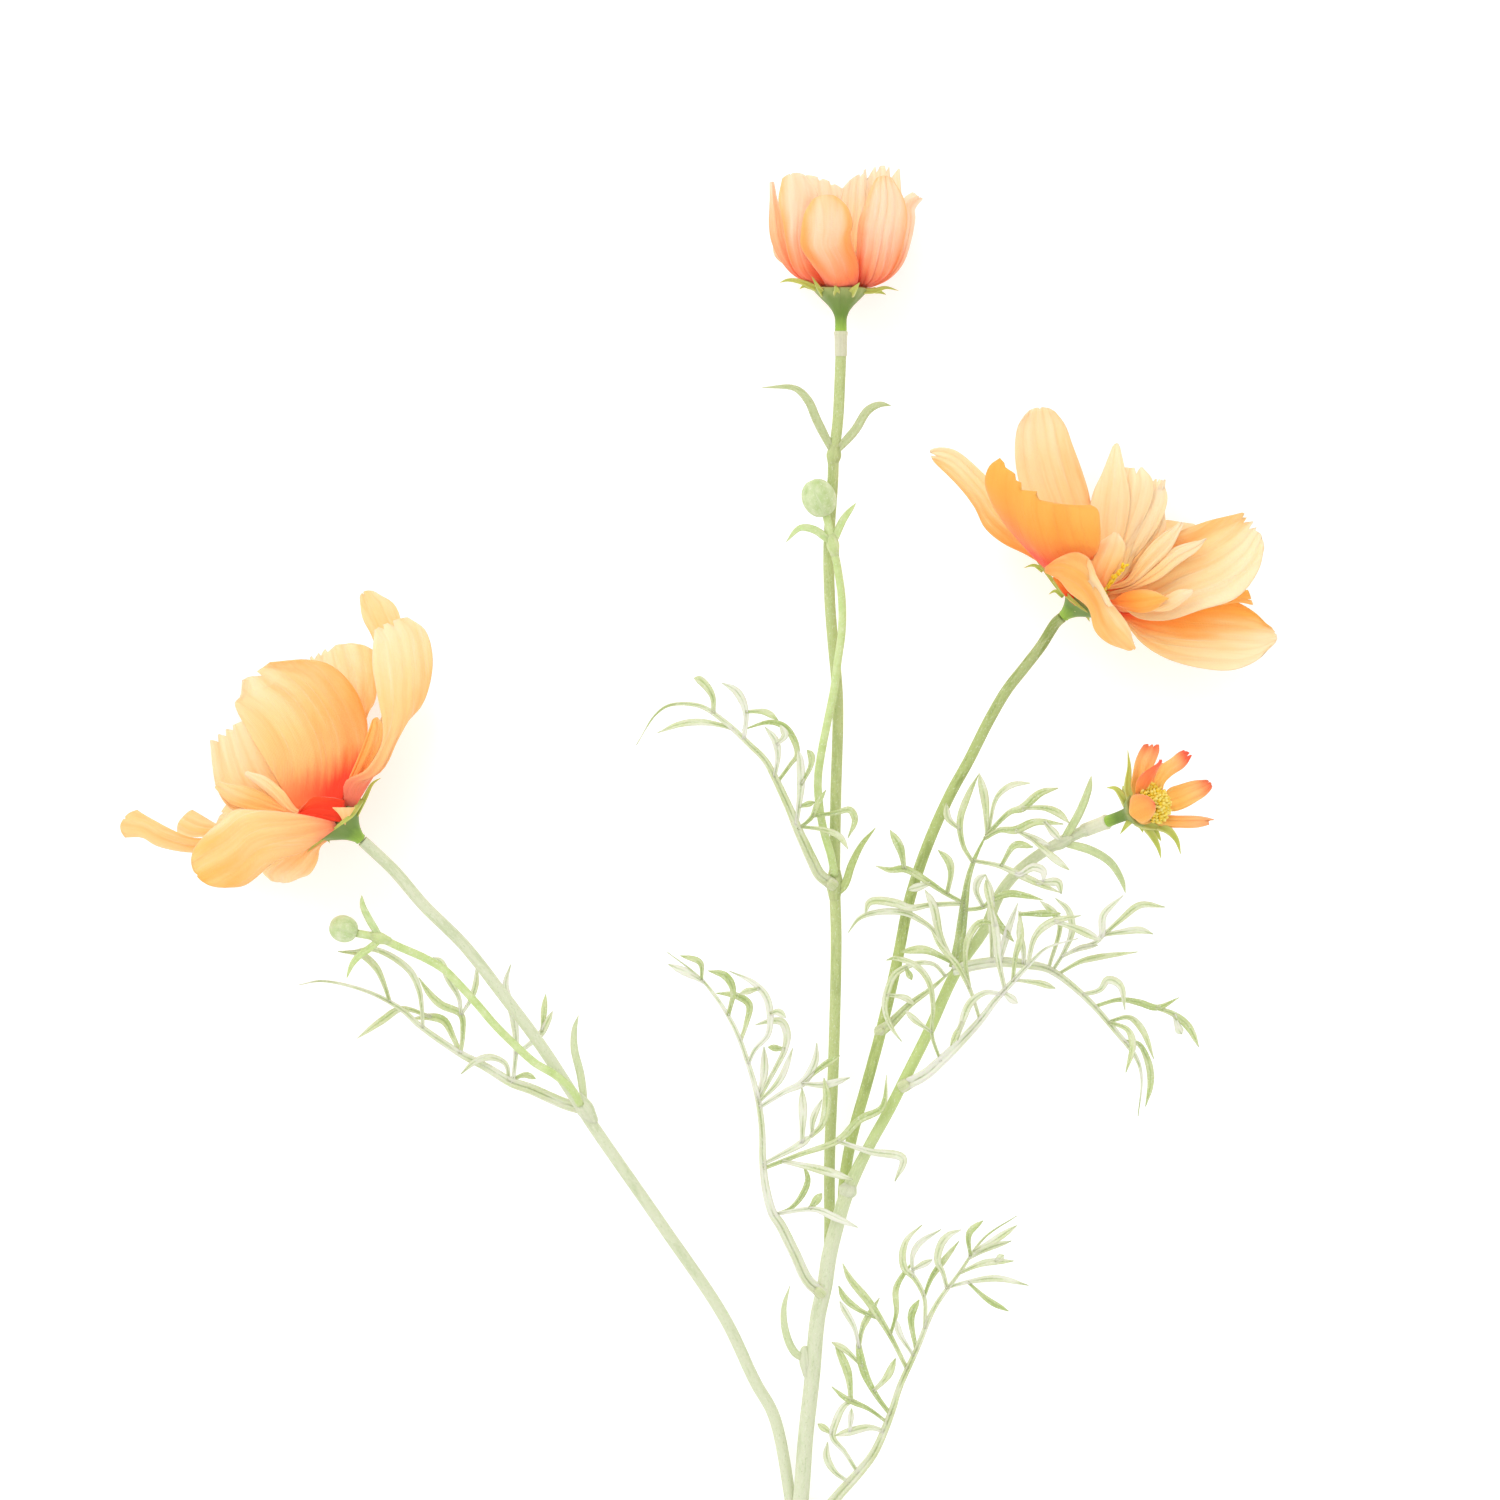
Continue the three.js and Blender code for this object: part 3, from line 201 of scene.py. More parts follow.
# How straps run out to their tips: shares of a half width, then of a half thickness, which is
# 1 mm for bracts
STRAP_BRACT_SIZES = ([0.75, 1, 1, 0.95, 0.8, 0.55, 0.08], [0.5, 0.42, 0.36, 0.25, 0.06])
CALYX_BRACT_SIZES = ([1.2, 1.15, 0.95, 0.7, 0.4, 0.05], [0.5, 0.42, 0.35, 0.22, 0.06])
BLADE_SIZES = ([0.55, 0.62, 0.8, 1.05, 1.08, 0.8, 0.12], [1, 1, 0.9, 0.8, 0.5, 0.25])
RACHIS_SIZES = [1.25, 1.05, 0.7, 0.5, 0.1]


def tube(work, line, widths, thicknesses, section, tone, up=UP, roll=0.0):
    """A bar along a line, with a section scaled by its half widths and half thicknesses."""
    across, above = frames_along(line, up)
    angle = roll * np.linspace(0, 1, len(line))[:, None]
    across, above = (across * np.cos(angle) + above * np.sin(angle),
                     above * np.cos(angle) - across * np.sin(angle))
    sideways, upward = (np.outer(sizes, part) for sizes, part in zip((widths, thicknesses), zip(*section)))
    points = (line[:, None] + across[:, None] * sideways[..., None] + above[:, None] * upward[..., None])
    walked = walked_along(line)[:, None] + random.uniform(0, 400) + 0 * sideways
    work.add(points, ring_faces(*sideways.shape), np.stack([walked, sideways, upward], -1), tone)


def stem(work, route, radii, greens, darks):
    """A round stem; its radii and its tones are spread along it."""
    line = smooth_line(route, STEM_STEP)
    widths, *tones = (sizes_along(sizes, len(line)) for sizes in (radii, greens, darks, [0.3]))
    tube(work, line, widths, widths, ROUND, np.repeat(np.column_stack(tones), STEM_SIDES, axis=0))


def strap(work, line, sizes, half_width, half_thickness, tone, **bar):
    """A strap along a line, with its widths and its thicknesses spread along it."""
    widths, thicknesses = (sizes_along(part, len(line)) for part in sizes)
    tube(work, line, widths * half_width, thicknesses * half_thickness, STRAP, tone, **bar)


def ring_direction(axis, turn):
    """A direction square to an axis, turned about it in degrees from the highest side."""
    axis = unit(vector(axis))
    high = unit(UP - axis * (UP @ axis))
    side = np.cross(axis, high)
    angle = math.radians(turn)
    return high * math.cos(angle) + side * math.sin(angle)


def turned(work, profile, foot, axis, tone, sides=LATHE_SIDES, ridges=None, form=(0, 0, 0)):
    """A turned solid: the profile lists (radius, height) from the axis back to the axis.
    ridges gives a share by which the radius grows at an angle and a height."""
    axis = unit(vector(axis))
    high = ring_direction(axis, 0)
    side = np.cross(axis, high)
    rings = [p for p in profile if p[0] > 1e-6]
    points, places = [], []
    for radius, height in rings:
        for j in range(sides):
            angle = 2 * math.pi * j / sides
            r = radius * (1 + (ridges(angle, height) if ridges else 0))
            points.append(foot + axis * height + (high * math.cos(angle) + side * math.sin(angle)) * r)
            places.append((height, angle * 3, radius))
    work.add(points, ring_faces(len(rings), sides), places, tone, form)


def eased(profile, rounds=2, radius=1, length=1):
    """A profile in shares of a radius and a length, with its corners cut again and again."""
    profile = [(r * radius, h * length) for r, h in profile]
    for _ in range(rounds):
        cut = [profile[0]]
        for (r0, h0), (r1, h1) in zip(profile, profile[1:]):
            cut += [(0.75 * r0 + 0.25 * r1, 0.75 * h0 + 0.25 * h1),
                    (0.25 * r0 + 0.75 * r1, 0.25 * h0 + 0.75 * h1)]
        profile = cut + [profile[-1]]
    return profile


# Where the blooms stand

def bloom_rules(foot, axis, neck, funnel, rim_radius=CALYX_RIM_RADIUS):
    """Where a bloom stands: on its foot, where the neck meets the stem."""
    foot, axis = vector(foot), unit(vector(axis))
    height = neck + funnel
    seat = foot + axis * (height + GAP + HUB_DEPTH)
    return {"foot": foot, "axis": axis, "neck": neck, "height": height, "rim": rim_radius, "seat": seat}


def stem_end(bloom, back=GAP):
    """Where a stem ends below a bloom, clear of its neck."""
    return tuple(bloom["foot"] - bloom["axis"] * back)


TOP = bloom_rules((18.2, 83.8, 16.5), (0, 1, 0), 3.0, 5.8)
RIGHT = bloom_rules((62.4, 26.6, 27), (0.7, 0.62, 0.36), 0.8, 6.0)
LEFT = bloom_rules((-77.6, -18, 23), (-0.73, 0.66, 0.2), 0.8, 5.8)
SMALL = bloom_rules((71.4, -14.3, 22.3), (0.7, 0.28, 0.62), 4.2, 4.2, rim_radius=3.4)


# The stems

MAIN_ROUTE = [
    3.6, -220, 2.1, 6.6, -190, 3.8, 9, -162, 5.6, 10.3, -150, 6.6, 11.2, -138, 7.6, 12.5, -126, 8.8,
    13.6, -114, 10.2, 15, -107.5, 11, 15.9, -101.5, 11.8, 17.8, -94, 12.8, 19.6, -88.4, 13.4, 23.6, -80, 14,
    28, -72, 14.3, 31, -66, 14.4, 36, -56, 14.2, 40, -47, 14, 42.4, -42.6, 14, 47, -36, 14.4, 50, -29, 15.4,
    54, -24, 16.8, 61, -19, 18.6, *stem_end(SMALL, 4), *stem_end(SMALL),
]

TOP_ROUTE = [
    15.9, -103, 11, 16, -96, 8.4, 16, -82, 8, 16.8, -62, 8.8, 17.3, -38, 10.2, 17, -26, 11, 17.2, -10, 12,
    17.6, 10, 13.2, 16.6, 22, 13.8, 16, 30, 14.2, 15.8, 41, 14.8, 16.6, 54, 15.4, 16.8, 59, 15.6,
    17.6, 66, 15.9, 18, 74, 16.2, *stem_end(TOP, 4), *stem_end(TOP),
]

RIGHT_ROUTE = [
    18.6, -92, 13, 19, -86, 10.6, 20.4, -78, 10.2, 23.3, -67.6, 10.4, 26.4, -56, 11.2, 29.4, -43, 12.4,
    32, -30, 14, 35.6, -19, 16, 40, -9, 18.6, 43.8, -2, 20.4, 47.8, 6, 22.2, 51.3, 12, 23.6, 55.2, 17, 25,
    58.1, 20.8, 25.4, *stem_end(RIGHT, 2), *stem_end(RIGHT),
]

LEFT_ROUTE = [
    9.2, -160, 5.6, 8, -150, 4.4, 4.8, -134, 5.4, 1, -127, 6.6, -5.2, -114, 8.6, -17.9, -95, 11.8,
    -31, -76, 14.6, -33.6, -72, 15.2, -42, -59, 17, -49.4, -49, 19, -57.2, -39, 20.8, -65.2, -31, 22.2,
    -71.2, -24, 22.8, *stem_end(LEFT, 2), *stem_end(LEFT),
]

MIDDLE_BUD_ROUTE = [
    17, -25, 12.4, 16.2, -21, 14.4, 15, -17, 15, 14, -12, 15, 13.6, -6, 15, 14.4, 0, 15.4, 15.6, 6, 16,
    16.8, 12, 16.6, 17.6, 18, 17, 18.4, 24, 17.2, 18.4, 30, 17.4, 17.6, 36, 17.8, 16.6, 41, 18.2,
    15, 48.2, 19,
]

LEFT_BUD_ROUTE = [
    -34, -71, 16.6, -35.6, -68, 18.4, -39, -65, 19.2, -43, -62.6, 19.6, -47, -59, 20, -51, -55, 20.4,
    -54.4, -51, 20.8, -58, -47, 21, -61, -44, 21.2, -65, -41.6, 21.4, -70, -39.4, 21.6, -74, -37.6, 21.8,
    -78.6, -36.6, 22,
]

# Strap bracts moulded to the stems: a half width and a route
MAIN_BRACTS = [
    (0.8, [11.6, -122.6, 9.2, 9, -121, 9.8, 7.2, -117, 10.6, 6.8, -112, 11, 8, -107.6, 10.6]),
    (0.85, [62.4, -18.4, 19.6, 65.6, -13, 22, 67.6, -8, 22.6, 68.2, -5.2, 22.4]),
    (0.85, [62.6, -18.6, 19.4, 68, -20, 20.4, 72, -22.4, 19.6, 74.4, -26, 18, 75.2, -28.6, 16.6]),
]

TOP_BRACTS = [
    (0.9, [16.8, 59.4, 15.8, 13.4, 66, 17.4, 11.6, 70, 18, 9, 72.4, 18, 2.4, 72.6, 17]),
    (0.9, [16.8, 59.4, 15.8, 21, 64, 17, 23.6, 68, 17.4, 26, 69.2, 17.2, 28.2, 69, 16.6]),
    (0.8, [17.2, -29, 11.2, 19, -27, 12, 20.4, -23, 12.6, 22.4, -19, 13, 25.2, -15.6, 12.6]),
]

LEFT_BRACTS = [
    (0.8, [-33, -72, 15.6, -34, -65, 14, -35.2, -60, 14, -35.2, -56, 13.6, -34.4, -53.2, 13]),
]

MIDDLE_BUD_BRACTS = [
    (0.8, [16.6, 41.2, 18.4, 13, 44, 19.4, 10, 44.4, 19.6, 7.2, 41.6, 19]),
    (0.8, [16.6, 41.4, 18.4, 18.6, 46, 18.8, 21.2, 49.4, 18.6]),
]

LEFT_BUD_BRACTS = [
    (0.75, [-73.8, -37.6, 21.9, -76, -34, 22.6, -77.4, -31, 22.6, -77.6, -29, 22]),
    (0.75, [-73.8, -37.8, 21.9, -76, -39.6, 22.4, -78, -41, 22.6, -79.6, -43, 22.4, -80.6, -45.6, 21.6]),
]

MAIN_RADII = ([CUT_END_RADIUS, 2.05, 1.9, 1.6] + [TRUNK_RADIUS] * 5 + [1.45, 1.4] + [STEM_RADIUS] * 12)

# How green and how dark a stem is, from its foot to its bloom
SAGE, GREEN = [0.0], [0.7]
MAIN_GREENS = [0, 0, 0, 0, 0, 0.4, 1, 1, 0.9, 0.3, 0, 0]
RIGHT_GREENS = [1, 1, 1, 0.9, 0.6, 0.4]
RIGHT_DARKS = [0.3, 0.3, 0.35, 0.5, 0.75, 0.8]

# Swellings where bracts or branches leave a stem: place, direction, radius, half length
MAIN_NODES = [
    ((19.6, -88.4, 13.4), (0.42, 0.9, 0.1), 1.9, 1.0),
    ((62, -18.6, 19.3), (0.85, 0.4, 0.25), 1.35, 1.6),
    ((11.3, -123, 9), (-0.1, 1, 0.1), 1.4, 1.8),
]
TOP_NODES = [
    ((16.8, 59, 15.6), (0.1, 1, 0.05), 1.5, 1.4),
    ((17, -27, 11), (0, 1, 0.05), 1.7, 2),
]
LEFT_NODES = [((-33, -72, 15.2), (-0.5, 0.8, 0.1), 1.8, 2)]
MIDDLE_BUD_NODES = [((16.6, 41, 18.2), (-0.2, 1, 0.1), 1.3, 1.4)]
LEFT_BUD_NODES = [((-74, -37.6, 21.8), (-1, 0.3, 0), 1.2, 1.4)]
NODE_PROFILE = [(0, -1.9), (0.6, -1.7), (0.78, -0.9), (1.0, -0.2), (1.0, 0.3), (0.8, 1.0), (0.6, 1.7),
                (0, 1.9)]


def make_stem(node, material, route, radii, nodes, bracts, greens, darks=(0.1,), ending=None):
    """A stem with its swellings and its bracts; ending adds what it carries at its upper end."""
    work = Patchwork()
    stem(work, route, radii, greens, darks)
    for place, along, radius, half_length in nodes:
        turned(work, eased(NODE_PROFILE, 2, radius, half_length), vector(place), along,
               (greens[0], darks[0], 0.5), sides=NODE_SIDES)
    for half_width, points in bracts:
        tone = (random.uniform(0.2, 0.9), 0.1, 0.8)
        strap(work, smooth_line(points, BLADE_STEP), STRAP_BRACT_SIZES, half_width, 1, tone,
              roll=random.uniform(-0.3, 0.3))
    if ending:
        ending(work)
    work.make(node, material)


def sleeve(bloom, end, radius, start=-0.4):
    """Adds a pale collar on the stem under a bloom, with a raised ring at its end."""
    axis, foot = bloom["axis"], bloom["foot"] - bloom["axis"] * end
    length = end - start
    profile = [(0, 0), (radius * 0.94, 0), (radius, 0.3), (radius, length - 1.2),
               (radius * 1.12, length - 0.9), (radius * 1.12, length - 0.5), (radius * 0.9, length - 0.2),
               (0, length - 0.1)]
    return lambda work: turned(work, eased(profile), foot, axis, (0, 0, 1), sides=NODE_SIDES)


def bud(place, along, radius, half_length):
    """Adds a round bud with five soft seams."""
    angles = [math.pi * band / 16 for band in range(17)]
    profile = [(radius * max(math.sin(angle), 0) ** 0.9, -half_length * math.cos(angle)) for angle in angles]
    profile[0], profile[-1] = (0, -half_length), (0, half_length)

    def seams(angle, _):
        return 0.025 * math.cos(5 * angle)

    return lambda work: turned(work, profile, vector(place), along, (0, 1, 0.5), sides=32, ridges=seams)


# Leaves

CUFF = [(0, -0.6), (1.2, -0.6), (1.35, -0.1), (1.28, 1.2), (1.08, 1.9), (0, 1.9)]


def feathery_leaf(node, rachises, blades, material, cuff=1.0):
    """Grooved blades that fork from a rachis. A blade's root takes its height from the nearest
    place that is already there."""
    work = Patchwork()
    samples = []
    first = np.reshape(rachises[0][1], (-1, 3))
    turned(work, eased([(radius * cuff, height) for radius, height in CUFF]), first[0], first[1] - first[0],
           (0.55, 0.6, 0.3), sides=20)
    for paleness, route in rachises:
        line = smooth_line(route, RACHIS_STEP)
        samples.append(line)
        radii = sizes_along(RACHIS_SIZES, len(line)) * RACHIS_RADIUS
        tube(work, line, radii, radii * 0.8, STRAP, (paleness, 0.6, 0.3))
    for rise, *path in blades:
        flat = np.reshape(path, (-1, 2)).astype(float)
        known = np.concatenate(samples)
        nearest = known[np.argmin(np.hypot(*(known[:, :2] - flat[0]).T))]
        share = np.linspace(0, 1, len(flat))
        points = np.column_stack([flat, nearest[2] + rise * np.sin(share * math.pi / 2)])
        points[0] = nearest
        line = smooth_line(points, BLADE_STEP)
        samples.append(line)
        half_width = BLADE_HALF_WIDTH * random.uniform(0.8, 1.15)
        strap(work, line, BLADE_SIZES, half_width, BLADE_HALF_THICKNESS, (0.75, random.random(), 0.6),
              roll=random.uniform(-0.5, 0.5))
    work.make(node, material)


# Each leaf: its rachises in space, each with its paleness, and its blades in plan, each with its
# rise from root to tip
LEAVES = {
    "left_leaf": ([
        (0.8, [-33, -72, 14.6, -37, -71, 13.2, -44, -68, 12.4, -48, -66.6, 12.2, -53, -63.6, 12,
            -58, -61, 12, -62, -58.4, 12, -66.4, -55.2, 12, -70, -52, 12, -77, -48.4, 11.6,
            -86, -46.4, 10.6, -90.6, -47.2, 9.6]),
    ], [
        [2, -72, -50.6, -73.4, -47, -75, -43.6, -78, -41, -82.6, -40.4],
        [3, -65.4, -55.8, -65.8, -52, -66.4, -48, -68.4, -44, -75, -40, -80.4, -40.4],
        [3, -58, -61, -57.6, -57, -58, -53, -62, -51, -64.4, -48.6, -66.4, -45.6],
        [1, -58, -53, -58.4, -49.6, -60.4, -46, -62, -42.4, -63.6, -41.6],
        [0, -58, -53, -56, -50, -55, -47, -54.8, -43],
        [-2, -58, -61, -59.6, -57.6, -61.4, -54.4, -64, -53.6, -68, -54],
        [-2, -64, -53.6, -70, -52, -74, -54.4, -79, -58],
        [2, -48, -66, -49, -63, -52, -61.6, -55, -62.4, -58, -65],
        [1, -47.4, -66.4, -47, -61, -47, -57, -47.6, -53, -49, -47, -48, -43],
        [0, -47, -61, -45, -59.6, -42, -57, -40.4, -54, -39.6, -52.4], [-1, -42, -57, -41.4, -53, -41, -49],
        [-1, -47, -66, -45, -65.2, -43, -66],
    ]),
    "upper_leaf": ([
        (0.7, [16.6, -27, 12, 14, -25, 14.2, 12.4, -22, 15.4, 11, -19, 16.2, 9.8, -16.4, 16.8, 8, -12, 17.4,
            5, -5.6, 18, 3, -2, 18.2, 0, 1, 18.2, -5, 5.6, 18, -10, 8.8, 17.4, -16, 9, 16, -19, 7, 14.8,
            -22.8, 1, 12.4]),
    ], [
        [-3, -3, 4, -6, 5, -10, 5.6, -14, 5.2, -18.6, 3.4], [2, -6.8, 7.6, -7.6, 11, -10, 14, -11.2, 14.4],
        [3, -0.6, 2.4, -0.8, 7, -1.6, 10, -3, 12, -5.6, 13.4], [1, -0.8, 8, 3, 7.6, 5.6, 6],
        [-4, 6, -6.4, 8, -3, 9.4, -1, 9, 1.6, 7, 4.6, 4, 5.6, -1.6, 4], [2, 5.6, -5, 5.6, -1, 5, 2, 3, 4.6],
        [2, 5.4, 1, 7, 3, 6, 5], [3, 9.6, -15, 9.8, -11, 10.2, -7, 10, -2, 9.6, 0],
        [1, 10.2, -6.6, 12.2, -3, 12.2, -1, 11.4, 0], [0, 9.8, -11.6, 13, -10.4],
        [2, 10, -15.6, 12.4, -13.4, 13.6, -10.6, 15.2, -8],
        [0.5, 12.6, -13.4, 17, -12.6, 20, -12, 21, -14, 19.6, -17.6],
        [1.5, 10.4, -16, 15, -16, 18, -17.4, 19.6, -19.8],
    ]),
    "middle_leaf": ([
        (0.85, [14.4, -109, 11.6, 11.6, -106.4, 13.2, 9, -101, 14.4, 6, -95, 15, 4.6, -93, 15.2,
            3.2, -88, 15.6, 2.6, -83, 15.8, 2.4, -76, 16, 1.6, -70, 16, 0, -64, 15.8, -3.4, -55, 15,
            -8.8, -47, 13.4, -12, -44, 12.4, -16.6, -40.6, 11]),
    ], [
        [-2, -9.4, -47, -12, -45, -16.4, -43], [2, -9.6, -46, -10, -42.6, -14, -41.2],
        [2, -4.4, -53, -3.4, -48, -5, -45.2, -8.4, -44.2],
        [-3, -1.8, -58, -0.8, -55, -0.2, -51, -3, -49.2, -6.8, -48.8],
        [3, -0.2, -63, 1, -60, 3.6, -57, 4, -52.4, 3, -49, 0.4, -46.4, -4.2, -44.2], [1, 2, -48, -2, -48.6],
        [1, 4, -53, 5.6, -52.4, 7.2, -53.6], [-2, 2, -69.6, 2.8, -65, 2.8, -59.4],
        [-4, 2, -70, 5, -64, 7, -60, 7.4, -57, 6.4, -54.6, 4, -54.4, 1, -55.2], [-1, 7, -60, 3.6, -59.6],
        [2, 2.4, -70.6, 6, -66, 8.6, -59.6], [1, 2.4, -71.4, 7, -68.4, 10.6, -66.6, 13, -62.4, 13.4, -58.6],
        [0, 10.6, -66.6, 15, -63, 18, -61.2], [1, 10.6, -66.6, 15, -67, 20, -65.6],
        [1, 2.8, -83, 10, -79, 12.4, -77.2], [2, 10.6, -79, 10.6, -73, 10.4, -67.6],
        [0, 12.4, -77.4, 12.6, -74, 14.4, -70], [2, 12.4, -77.6, 14.4, -75, 15.4, -70, 14.8, -65.6],
        [1.6, 3, -83.8, 10, -81, 17.6, -78.2, 22, -74, 26.4, -71.6, 27.4, -65],
        [1, 17.6, -78.2, 24, -80.4, 30.6, -81.8, 29, -86.4], [1.4, 6.6, -82, 14, -84, 20.6, -86],
        [-2, 5, -93, 8, -92, 10.6, -89, 11.6, -86, 10.6, -83],
        [2.4, 5.6, -93.4, 13, -92, 17, -93.6, 21.6, -95.6], [0, 12, -92, 14.4, -88.8],
    ]),
    "right_leaf": ([
        (0.5, [25.8, -56.6, 11.4, 28, -55, 13.8, 32, -51, 16, 36, -48, 17.4, 41, -43.6, 18.2]),
        (0.35, [41, -43.6, 18.2, 42, -38, 18.4, 43, -30, 18.6, 43.6, -26, 18.8, 45, -21.6, 19.2,
            48, -15.6, 19.4]),
        (0.8, [40.6, -44, 18.2, 45, -43, 18.8, 50, -42.4, 19.2, 56, -43, 19.2, 60, -44, 19, 67, -49.4, 18,
            73, -56, 16, 77.6, -62, 13.4, 78.6, -66, 11.6, 78, -73.6, 8]),
    ], [
        [3, 44.4, -22.4, 42.6, -19, 42, -14, 43.6, -9, 45.6, -5], [1, 42, -15.6, 39.6, -13.6, 39.2, -10.6],
        [0, 47.6, -16.4, 47, -10, 45.8, -4.6], [2, 47.8, -16, 49.4, -9.4, 52.4, -7, 56, -6.6],
        [3, 47.4, -17, 52, -12.4, 54.4, -11.6, 58, -8.6, 61.6, -7.6],
        [1, 54.4, -11.6, 59, -11.6, 61.6, -12.6, 63.8, -14.6],
        [4, 47, -17.6, 50, -16, 53, -16, 57, -14.4, 62.6, -14.8], [0, 53, -16, 56, -17.4, 60, -19],
        [0, 59, -14.4, 62, -18], [1, 56, -17.4, 60, -21, 63.8, -24],
        [3, 45, -22.4, 50, -23.2, 54, -25, 58, -26.8, 62, -28.5],
        [1, 51.8, -27.3, 53.9, -24.9, 56.5, -23.4, 58.6, -24.2, 58.6, -26.5],
        [0, 57, -27, 59.2, -26.4, 61.6, -26.5, 62.2, -28.8],
        [4, 43.6, -32, 46.7, -31.4, 48.6, -29.8, 51.8, -28.7, 55.1, -29.1, 58.6, -30],
        [1, 46.7, -31, 45.2, -28.1, 45.7, -25.9, 47.1, -24.9],
        [2, 48.2, -41.6, 48.4, -37.1, 48.2, -33, 48.1, -28.5, 47.1, -24.9],
        [1, 48.4, -31, 49.6, -34.7, 52.7, -38.3], [3, 49.8, -42, 50.4, -40.4, 51.6, -35.9, 53.5, -30.6],
        [2, 62.6, -37.6, 62, -34.7, 60.4, -32.2, 58, -30.2],
        [3, 54.7, -42.6, 54.7, -40.4, 53.9, -36.7, 54.1, -32.2], [2, 50, -22.6, 53, -19, 56.6, -19.4],
        [2, 42.8, -30.4, 39, -28.6, 36, -26.6, 31, -23.8, 28, -24, 25.2, -23.2],
        [2, 31, -23.8, 30, -19.6, 28, -16], [3, 39.6, -28.6, 40.2, -24.4, 39.6, -22, 37.6, -20],
        [-1, 36.4, -26.8, 31.6, -28], [1, 42.8, -30.6, 36, -31, 32, -31.6, 29, -30.6, 24, -30.4, 23, -33],
        [0, 41, -43, 39, -40, 36.6, -36, 34, -34, 31, -32.6, 26, -32.4, 22, -33.6, 19.6, -36.6],
        [2, 40.4, -42, 38, -37, 36.6, -31, 35, -28], [0, 40, -42.8, 35, -40, 30, -40.4],
        [-1, 39, -45, 37, -43, 34, -42.6, 31, -43.6, 29, -45, 27.6, -48, 27, -52, 28.6, -56, 30.4, -58.4],
        [1, 28, -49.6, 31, -49.6, 33, -51], [1, 31, -43.6, 32.4, -46],
        [3, 61, -43.8, 63, -40, 64.4, -36, 63.6, -32, 61, -29.6],
        [0, 61.4, -44.6, 66, -42.4, 70, -41.4, 77.6, -40.4], [2, 62.6, -41.8, 66, -39.6, 69.6, -39],
        [2, 65, -40.4, 70, -37.6, 70.6, -33, 74.6, -29], [0, 70, -37.6, 74, -34, 78, -31, 83, -31.4],
        [-1, 71, -37, 74, -36.4, 78, -36, 80.6, -36.8],
        [2, 66.6, -49.2, 70, -48, 71.6, -46, 74, -47, 75, -52],
        [-2, 69, -51, 74, -50, 78, -50.6, 81.6, -51.6, 86, -49.6],
        [-2, 81.6, -51.6, 85, -53, 88, -55.6, 90, -59.6], [-1, 85, -53.4, 86, -56, 86.6, -57],
        [-3, 72, -54, 76, -53.6, 78.6, -56, 81, -62], [2, 72, -54.6, 75.6, -56, 76.6, -59, 75.2, -64.6],
        [-4, 75, -58, 78, -59, 80, -63, 80.4, -67, 79.4, -71.6],
    ]),
    "front_leaf": ([
        (0.95, [30.6, -67.4, 15.2, 35, -65, 18, 38, -62.4, 19.6, 42, -58.4, 21.6, 46, -54, 23.2,
            49, -50, 24.4, 53, -45.6, 25.4, 56, -42.4, 26, 59, -39.6, 26.4, 65.4, -37.6, 26]),
    ], [
        [3, 38, -62.4, 36.4, -57, 36.6, -51, 35.6, -46, 33, -43, 29, -41.6, 27.2, -42],
        [1, 36.4, -56, 33, -54, 31, -52], [2, 45.6, -54, 44, -48, 41.4, -43, 38, -39, 36, -35.6],
        [1, 43.6, -47.4, 43, -42, 43.4, -38, 46, -34.4, 50, -35],
        [3, 50.4, -47.6, 49.6, -42, 49, -36, 48, -31], [2, 52, -46, 53, -41, 54, -37, 53.6, -32],
        [1, 55, -43, 57, -37, 60, -34.4, 66, -33], [0, 61, -34.4, 66, -36, 70, -38],
        [-1, 52.6, -46, 58, -46.6, 61, -47.6], [0, 50.4, -48.2, 53.4, -50.6],
        [1, 50, -48.6, 47, -48.4, 44, -50.4, 42.4, -54, 41.4, -58], [1, 42.4, -54, 40, -59],
        [-2, 48.8, -35, 47.6, -29, 47, -26], [-1, 53.8, -33, 58, -32.6, 62, -32.6],
    ]),
    "lower_leaf": ([
        (0.7, [9.4, -161, 5.6, 12, -157, 6, 17.6, -150, 7.6, 22, -145, 8.8, 25, -141, 9.6, 28.4, -133, 10.4,
            30, -128, 10.8, 33.6, -120, 11.2, 37, -112, 11.4, 42, -105, 11.2, 47, -98, 10.4,
            53.6, -93.6, 9]),
    ], [
        [1, 45, -101, 49, -98.4, 53.6, -95.4], [1, 44.4, -101.6, 44, -97, 46.8, -94.4],
        [-2, 44, -102, 48, -100, 52.6, -98.6], [-1, 42, -105, 47, -103, 53, -102.6],
        [0, 49, -102.8, 51, -101.4], [-3, 40, -108, 45, -106.6, 50, -106.2, 56, -107.6],
        [-2, 43.6, -107, 48, -110.6, 52, -112.8],
        [2, 39.6, -108, 38.6, -104.6, 37.6, -102.6, 38.4, -99, 40, -97.2, 42.4, -96.2],
        [2, 35, -116, 35, -110, 33, -106, 31, -104, 30.6, -101, 31.6, -98, 34.6, -95.2],
        [-1, 33, -105.6, 32.6, -101.6, 34, -99, 38.4, -96.2], [1, 33, -104.4, 36.6, -102.2],
        [-2, 35, -110, 36.4, -106, 39, -102.4, 42, -98.6], [-2, 33, -120.6, 32.4, -113.6, 34, -110.4],
        [1, 32.6, -121.6, 30, -117, 29.4, -114.4],
        [2, 31.4, -124, 28.4, -118, 26, -114, 23.6, -110.4, 20, -106, 18.6, -103],
        [-3, 28.6, -117, 29.4, -113, 29.4, -108, 33, -102.4],
        [-2, 26, -114.4, 22, -112.4, 19, -110, 17.8, -107.6],
